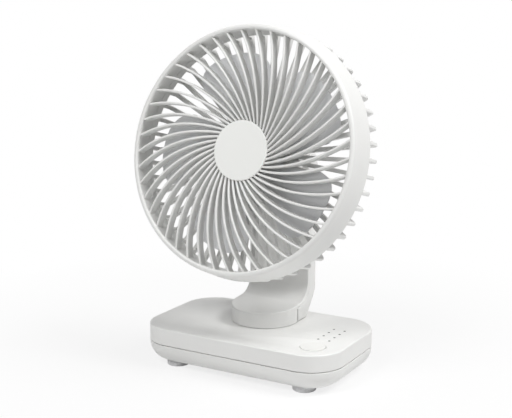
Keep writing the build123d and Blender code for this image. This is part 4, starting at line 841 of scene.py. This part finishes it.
def noise(tree, scale, detail=2.0, stretch=(1, 1, 1)):
    """Noise in Object coordinates, drawn out along an axis where stretch is below 1; gives its Fac."""
    place = tree.nodes.new("ShaderNodeTexCoord")
    mapping = tree.nodes.new("ShaderNodeMapping")
    mapping.inputs["Scale"].default_value = stretch
    texture = tree.nodes.new("ShaderNodeTexNoise")
    texture.inputs["Scale"].default_value = scale
    texture.inputs["Detail"].default_value = detail
    tree.links.new(place.outputs["Object"], mapping.inputs["Vector"])
    tree.links.new(mapping.outputs["Vector"], texture.inputs["Vector"])
    return texture.outputs["Fac"]


def tone(tree, factor, dark, light):
    """Colour that goes from dark to light as the factor goes over its usual range."""
    ramp = tree.nodes.new("ShaderNodeValToRGB")
    ramp.color_ramp.elements[0].position = NOISE_LOW
    ramp.color_ramp.elements[1].position = NOISE_HIGH
    ramp.color_ramp.elements[0].color = (*dark, 1)
    ramp.color_ramp.elements[1].color = (*light, 1)
    tree.links.new(factor, ramp.inputs["Fac"])
    return ramp.outputs["Color"]


def between(tree, factor, low, high):
    """Number from low to high as the factor goes over its usual range."""
    span = tree.nodes.new("ShaderNodeMapRange")
    span.inputs["From Min"].default_value = NOISE_LOW
    span.inputs["From Max"].default_value = NOISE_HIGH
    span.inputs["To Min"].default_value = low
    span.inputs["To Max"].default_value = high
    tree.links.new(factor, span.inputs["Value"])
    return span.outputs["Result"]


def relief(tree, factor, strength, depth):
    """Bump whose height is the factor times the depth, in metres."""
    bump = tree.nodes.new("ShaderNodeBump")
    bump.inputs["Strength"].default_value = strength
    bump.inputs["Distance"].default_value = depth
    tree.links.new(factor, bump.inputs["Height"])
    return bump.outputs["Normal"]


print("noise counts as dark below", NOISE_LOW, "and as light above", NOISE_HIGH)

# %% [markdown]
# ## Recipes
# Three recipes are enough for the whole fan. Plastic has a moulded grain, metal has tool marks, and
# rubber is matt and dusty. Each gives the shader a colour, a gloss and a relief.

# %% Recipes
PLASTIC_IOR = 1.5
DRIFT_SCALE = 28
GLOSS_SCALE, GLOSS_BELOW, GLOSS_ABOVE = 140, 0.04, 0.05
GRAIN_SCALE, GRAIN_DEPTH = 2500, 0.00004
MARK_SCALE, MARK_SHADE, MARK_GLOSS = 900, 0.85, 0.08
MARK_STRENGTH, MARK_DEPTH = 0.15, 0.00002
SPECKLE_SCALE, SPECKLE_DARK, SPECKLE_LIGHT = 700, 0.9, 1.03
DUST_SCALE, DUST_LOW, DUST_HIGH = 300, 0.7, 0.85
SKIN_SCALE, SKIN_STRENGTH, SKIN_DEPTH = 1600, 0.25, 0.00006


def coat(tree, shader, color, roughness, normal):
    """Links a recipe's colour, gloss and relief to the shader."""
    tree.links.new(color, shader.inputs["Base Color"])
    tree.links.new(roughness, shader.inputs["Roughness"])
    tree.links.new(normal, shader.inputs["Normal"])


def plastic(name, color, roughness, drift=0.015, grain=0.12):
    """Moulded plastic: drifting tone, uneven satin gloss and a fine moulded grain."""
    material, tree, shader = new_material(name)
    color = np.array(color)
    drift_noise = noise(tree, DRIFT_SCALE, detail=3)
    drifting = tone(tree, drift_noise, color * (1 - drift), color * (1 + drift))
    gloss_noise = noise(tree, GLOSS_SCALE)
    satin = between(tree, gloss_noise, roughness - GLOSS_BELOW, roughness + GLOSS_ABOVE)
    grained = relief(tree, noise(tree, GRAIN_SCALE), grain, GRAIN_DEPTH)
    coat(tree, shader, drifting, satin, grained)
    shader.inputs["IOR"].default_value = PLASTIC_IOR
    return material


def metal(name, color, roughness, stretch=(1, 1, 1)):
    """Worked metal: fine tool marks, drawn out along one axis where it was rolled or turned."""
    material, tree, shader = new_material(name)
    color = np.array(color)
    marks = noise(tree, MARK_SCALE, detail=3, stretch=stretch)
    shaded = tone(tree, marks, color * MARK_SHADE, color)
    worked = between(tree, marks, roughness - MARK_GLOSS, roughness + MARK_GLOSS)
    scratched = relief(tree, marks, MARK_STRENGTH, MARK_DEPTH)
    coat(tree, shader, shaded, worked, scratched)
    shader.inputs["Metallic"].default_value = 1.0
    return material


def rubber(name, color):
    """Rubber: matt, with a dusty speckle."""
    material, tree, shader = new_material(name)
    color = np.array(color)
    speckle_noise = noise(tree, SPECKLE_SCALE, detail=4)
    speckled = tone(tree, speckle_noise, color * SPECKLE_DARK, color * SPECKLE_LIGHT)
    dusty = between(tree, noise(tree, DUST_SCALE), DUST_LOW, DUST_HIGH)
    skin = relief(tree, noise(tree, SKIN_SCALE), SKIN_STRENGTH, SKIN_DEPTH)
    coat(tree, shader, speckled, dusty, skin)
    return material


print("grains on the plastic are about", round(1 / GRAIN_SCALE / MM, 2), "mm across")

# %% [markdown]
# ## Giving every piece its finish
# The record names a finish slot for each CAD node, and each new piece was given one when it was made.
# So one table of finishes is enough for both, and the pieces inside the fan get theirs as well.

# %% Finishes by slot
WHITE = (0.80, 0.80, 0.785)
finishes = {
    "shell_white": plastic("shell_plastic", WHITE, 0.42),
    "guard_white": plastic("guard_plastic", WHITE, 0.40),
    # The hub disc is whiter than the other white plastic: painted light, making the front-facing hub
    # brighter than the lamps alone make it.
    "hub_white": plastic("hub_plastic_painted_light", (0.90, 0.905, 0.88), 0.44),
    # The blades are greyer than the other white plastic: painted shade for the dim inside of the head.
    "blade_white": plastic("blade_plastic_painted_shade", (0.715, 0.72, 0.73), 0.45),
    "button_white": plastic("button_plastic", (0.79, 0.79, 0.77), 0.46),
    # The clear lamp windows are near black: painted shade for the dark inside of the lamp holes.
    "clear_plastic": plastic("lamp_window_painted_shade", (0.02, 0.02, 0.022), 0.5, grain=0.03),
    "foot_rubber": rubber("foot_rubber", (0.82, 0.82, 0.83)),
    "screw_steel": metal("screw_steel", (0.56, 0.56, 0.57), 0.32),
    "ballast_steel": metal("rolled_steel", (0.34, 0.34, 0.35), 0.45, (0.05, 1, 1)),
    "cell_sleeve": plastic("cell_sleeve", (0.05, 0.18, 0.36), 0.3),
    "nickel": metal("nickel_strip", (0.62, 0.60, 0.55), 0.28, (0.1, 1, 1)),
    "board_green": plastic("board_lacquer", (0.02, 0.11, 0.045), 0.33, drift=0.12),
    "lamp": plastic("lamp_body", (0.78, 0.72, 0.5), 0.3),
    "socket_metal": metal("socket_metal", (0.6, 0.6, 0.61), 0.27, (1, 0.1, 1)),
    "switch_black": plastic("switch_plastic", (0.015, 0.015, 0.016), 0.4, drift=0.1),
    "slide_plastic": plastic("washer_plastic", (0.58, 0.58, 0.54), 0.35),
    "inner_plastic": plastic("inner_plastic", (0.55, 0.55, 0.53), 0.5),
    "copper_wire": metal("copper_wire", (0.7, 0.3, 0.13), 0.3, (1, 1, 0.1)),
    "core_steel": metal("sheet_steel", (0.32, 0.32, 0.34), 0.4, (1, 1, 6)),
    "magnet": plastic("magnet_body", (0.03, 0.03, 0.032), 0.5, drift=0.1),
    "bearing_bronze": metal("bronze", (0.5, 0.36, 0.16), 0.38),
}
slots = {part["node"]: part["material_slot"] for part in frame["record"]["subparts"]} | made
for name, slot in slots.items():
    thing = bpy.data.objects[name]
    thing.data.materials.clear()
    thing.data.materials.append(finishes[slot])
print(len(slots), "objects finished from", len(finishes), "finishes")

# %% [markdown]
# ## Studio: floor and world
# The fan stands on a white floor in front of nothing at all. A real backdrop would need strong lamps
# to look white, and they would bleach the fan as well. Here Light Path tells the rays apart: what the
# camera sees, straight or in a gloss, is plain white, and the rays that light the fan get only a
# little from the world. Close to the fan the floor lets some of its own shading through, which is
# the soft shadow.

# %% Floor
FLOOR_HALF = 9.0
FLOOR_WHITE = (0.86, 0.86, 0.86, 1)
NEAR_WHITE = 0.75
FLOOR_FADE = 0.35


def plain_ray(tree):
    """1 for rays from the camera, from gloss and through clear things, and 0 for lighting rays."""
    path = tree.nodes.new("ShaderNodeLightPath")
    any_of = path.outputs["Is Camera Ray"]
    for kind in ("Is Glossy Ray", "Is Transmission Ray"):
        larger = tree.nodes.new("ShaderNodeMath")
        larger.operation = "MAXIMUM"
        tree.links.new(any_of, larger.inputs[0])
        tree.links.new(path.outputs[kind], larger.inputs[1])
        any_of = larger.outputs[0]
    return any_of


def whiteness(tree):
    """Share of plain white on the floor: NEAR_WHITE at the fan, rising to 1 at FLOOR_FADE metres."""
    place = tree.nodes.new("ShaderNodeTexCoord")
    spread = tree.nodes.new("ShaderNodeMapping")
    spread.inputs["Scale"].default_value = (1 / FLOOR_FADE,) * 3
    near = tree.nodes.new("ShaderNodeTexGradient")
    near.gradient_type = "SPHERICAL"
    share_of_white = tree.nodes.new("ShaderNodeMapRange")
    share_of_white.inputs["To Min"].default_value = 1.0
    share_of_white.inputs["To Max"].default_value = NEAR_WHITE
    tree.links.new(place.outputs["Object"], spread.inputs["Vector"])
    tree.links.new(spread.outputs["Vector"], near.inputs["Vector"])
    tree.links.new(near.outputs["Fac"], share_of_white.inputs["Value"])
    return share_of_white.outputs["Result"]


floor_mesh = bpy.data.meshes.new("floor")
floor_corners = np.insert(RECTANGLE * FLOOR_HALF, 2, 0.0, axis=1)
floor_mesh.from_pydata(floor_corners.tolist(), [], [(0, 1, 2, 3)])
floor = bpy.data.objects.new("floor", floor_mesh)
bpy.context.scene.collection.objects.link(floor)

floor_paint = bpy.data.materials.new("floor_paint")
floor_paint.use_nodes = True
tree = floor_paint.node_tree
tree.nodes.clear()
paint = tree.nodes.new("ShaderNodeBsdfDiffuse")
paint.inputs["Color"].default_value = FLOOR_WHITE
glow = tree.nodes.new("ShaderNodeEmission")
seen_white = tree.nodes.new("ShaderNodeMath")
seen_white.operation = "MULTIPLY"
mixed = tree.nodes.new("ShaderNodeMixShader")
result = tree.nodes.new("ShaderNodeOutputMaterial")
tree.links.new(plain_ray(tree), seen_white.inputs[0])
tree.links.new(whiteness(tree), seen_white.inputs[1])
tree.links.new(seen_white.outputs[0], mixed.inputs["Fac"])
tree.links.new(paint.outputs[0], mixed.inputs[1])
tree.links.new(glow.outputs[0], mixed.inputs[2])
tree.links.new(mixed.outputs[0], result.inputs["Surface"])
floor_mesh.materials.append(floor_paint)
print("the floor is plain white from", FLOOR_FADE, "m on")

# %% World
AMBIENT = 0.08
world = bpy.data.worlds.new("studio")
bpy.context.scene.world = world
world.use_nodes = True
tree = world.node_tree
sky = tree.nodes["Background"]
sky.inputs["Color"].default_value = (1, 1, 1, 1)
sky_strength = tree.nodes.new("ShaderNodeMapRange")
sky_strength.inputs["To Min"].default_value = AMBIENT
tree.links.new(plain_ray(tree), sky_strength.inputs["Value"])
tree.links.new(sky_strength.outputs["Result"], sky.inputs["Strength"])
print("the world shows as white and lights with a strength of", AMBIENT)

# %% [markdown]
# ## Studio: lamps and camera
# The main soft lamp stands to the right, a little behind and above, and models the arm and the base.
# A second one, in front and above, lights the hub and the ribs. Both are large discs, because a
# small lamp would draw hard shadows between the ribs. The camera stands where the photograph was
# taken from, with a long lens.

# %% Lamps and camera
FAN_MIDDLE = (0.0, 0.0, 0.12)
SOFT_SIZE = 0.9
SOFT_LAMPS = {"key": ((1.0, 0.15, 1.4), 22.0), "front": ((-0.25, -1.2, 1.4), 17.0)}
CAMERA_PLACE = (0.348257, -0.599892, 0.251404)
CAMERA_TARGET = (0.0025, 0.0, 0.112)
LENS, SENSOR, SHIFT = 71.94, 36.0, -0.0075


def aim(thing, place, target):
    """Puts a lamp or camera at a place and turns its -Z axis to the target."""
    back = unit(np.array(place, float) - np.array(target, float))
    right = unit(np.cross([0, 0, 1], back))
    turn = np.array([right, np.cross(back, right), back]).T
    thing.matrix_world = Matrix.LocRotScale(place, Matrix(turn.tolist()).to_quaternion(), None)


for name, (place, power) in SOFT_LAMPS.items():
    lamp = bpy.data.lights.new(name, "AREA")
    lamp.shape = "DISK"
    lamp.size = SOFT_SIZE
    lamp.energy = power
    holder = bpy.data.objects.new(name, lamp)
    bpy.context.scene.collection.objects.link(holder)
    aim(holder, place, FAN_MIDDLE)

camera = bpy.data.cameras.new("camera")
camera.lens = LENS
camera.sensor_width = SENSOR
camera.shift_x = SHIFT
viewer = bpy.data.objects.new("camera", camera)
bpy.context.scene.collection.objects.link(viewer)
aim(viewer, CAMERA_PLACE, CAMERA_TARGET)
bpy.context.scene.camera = viewer
bpy.context.scene.view_settings.view_transform = "Standard"
away = np.linalg.norm(np.subtract(CAMERA_PLACE, CAMERA_TARGET))
print(len(SOFT_LAMPS), "lamps, and a camera", round(away, 2), "m from the fan")
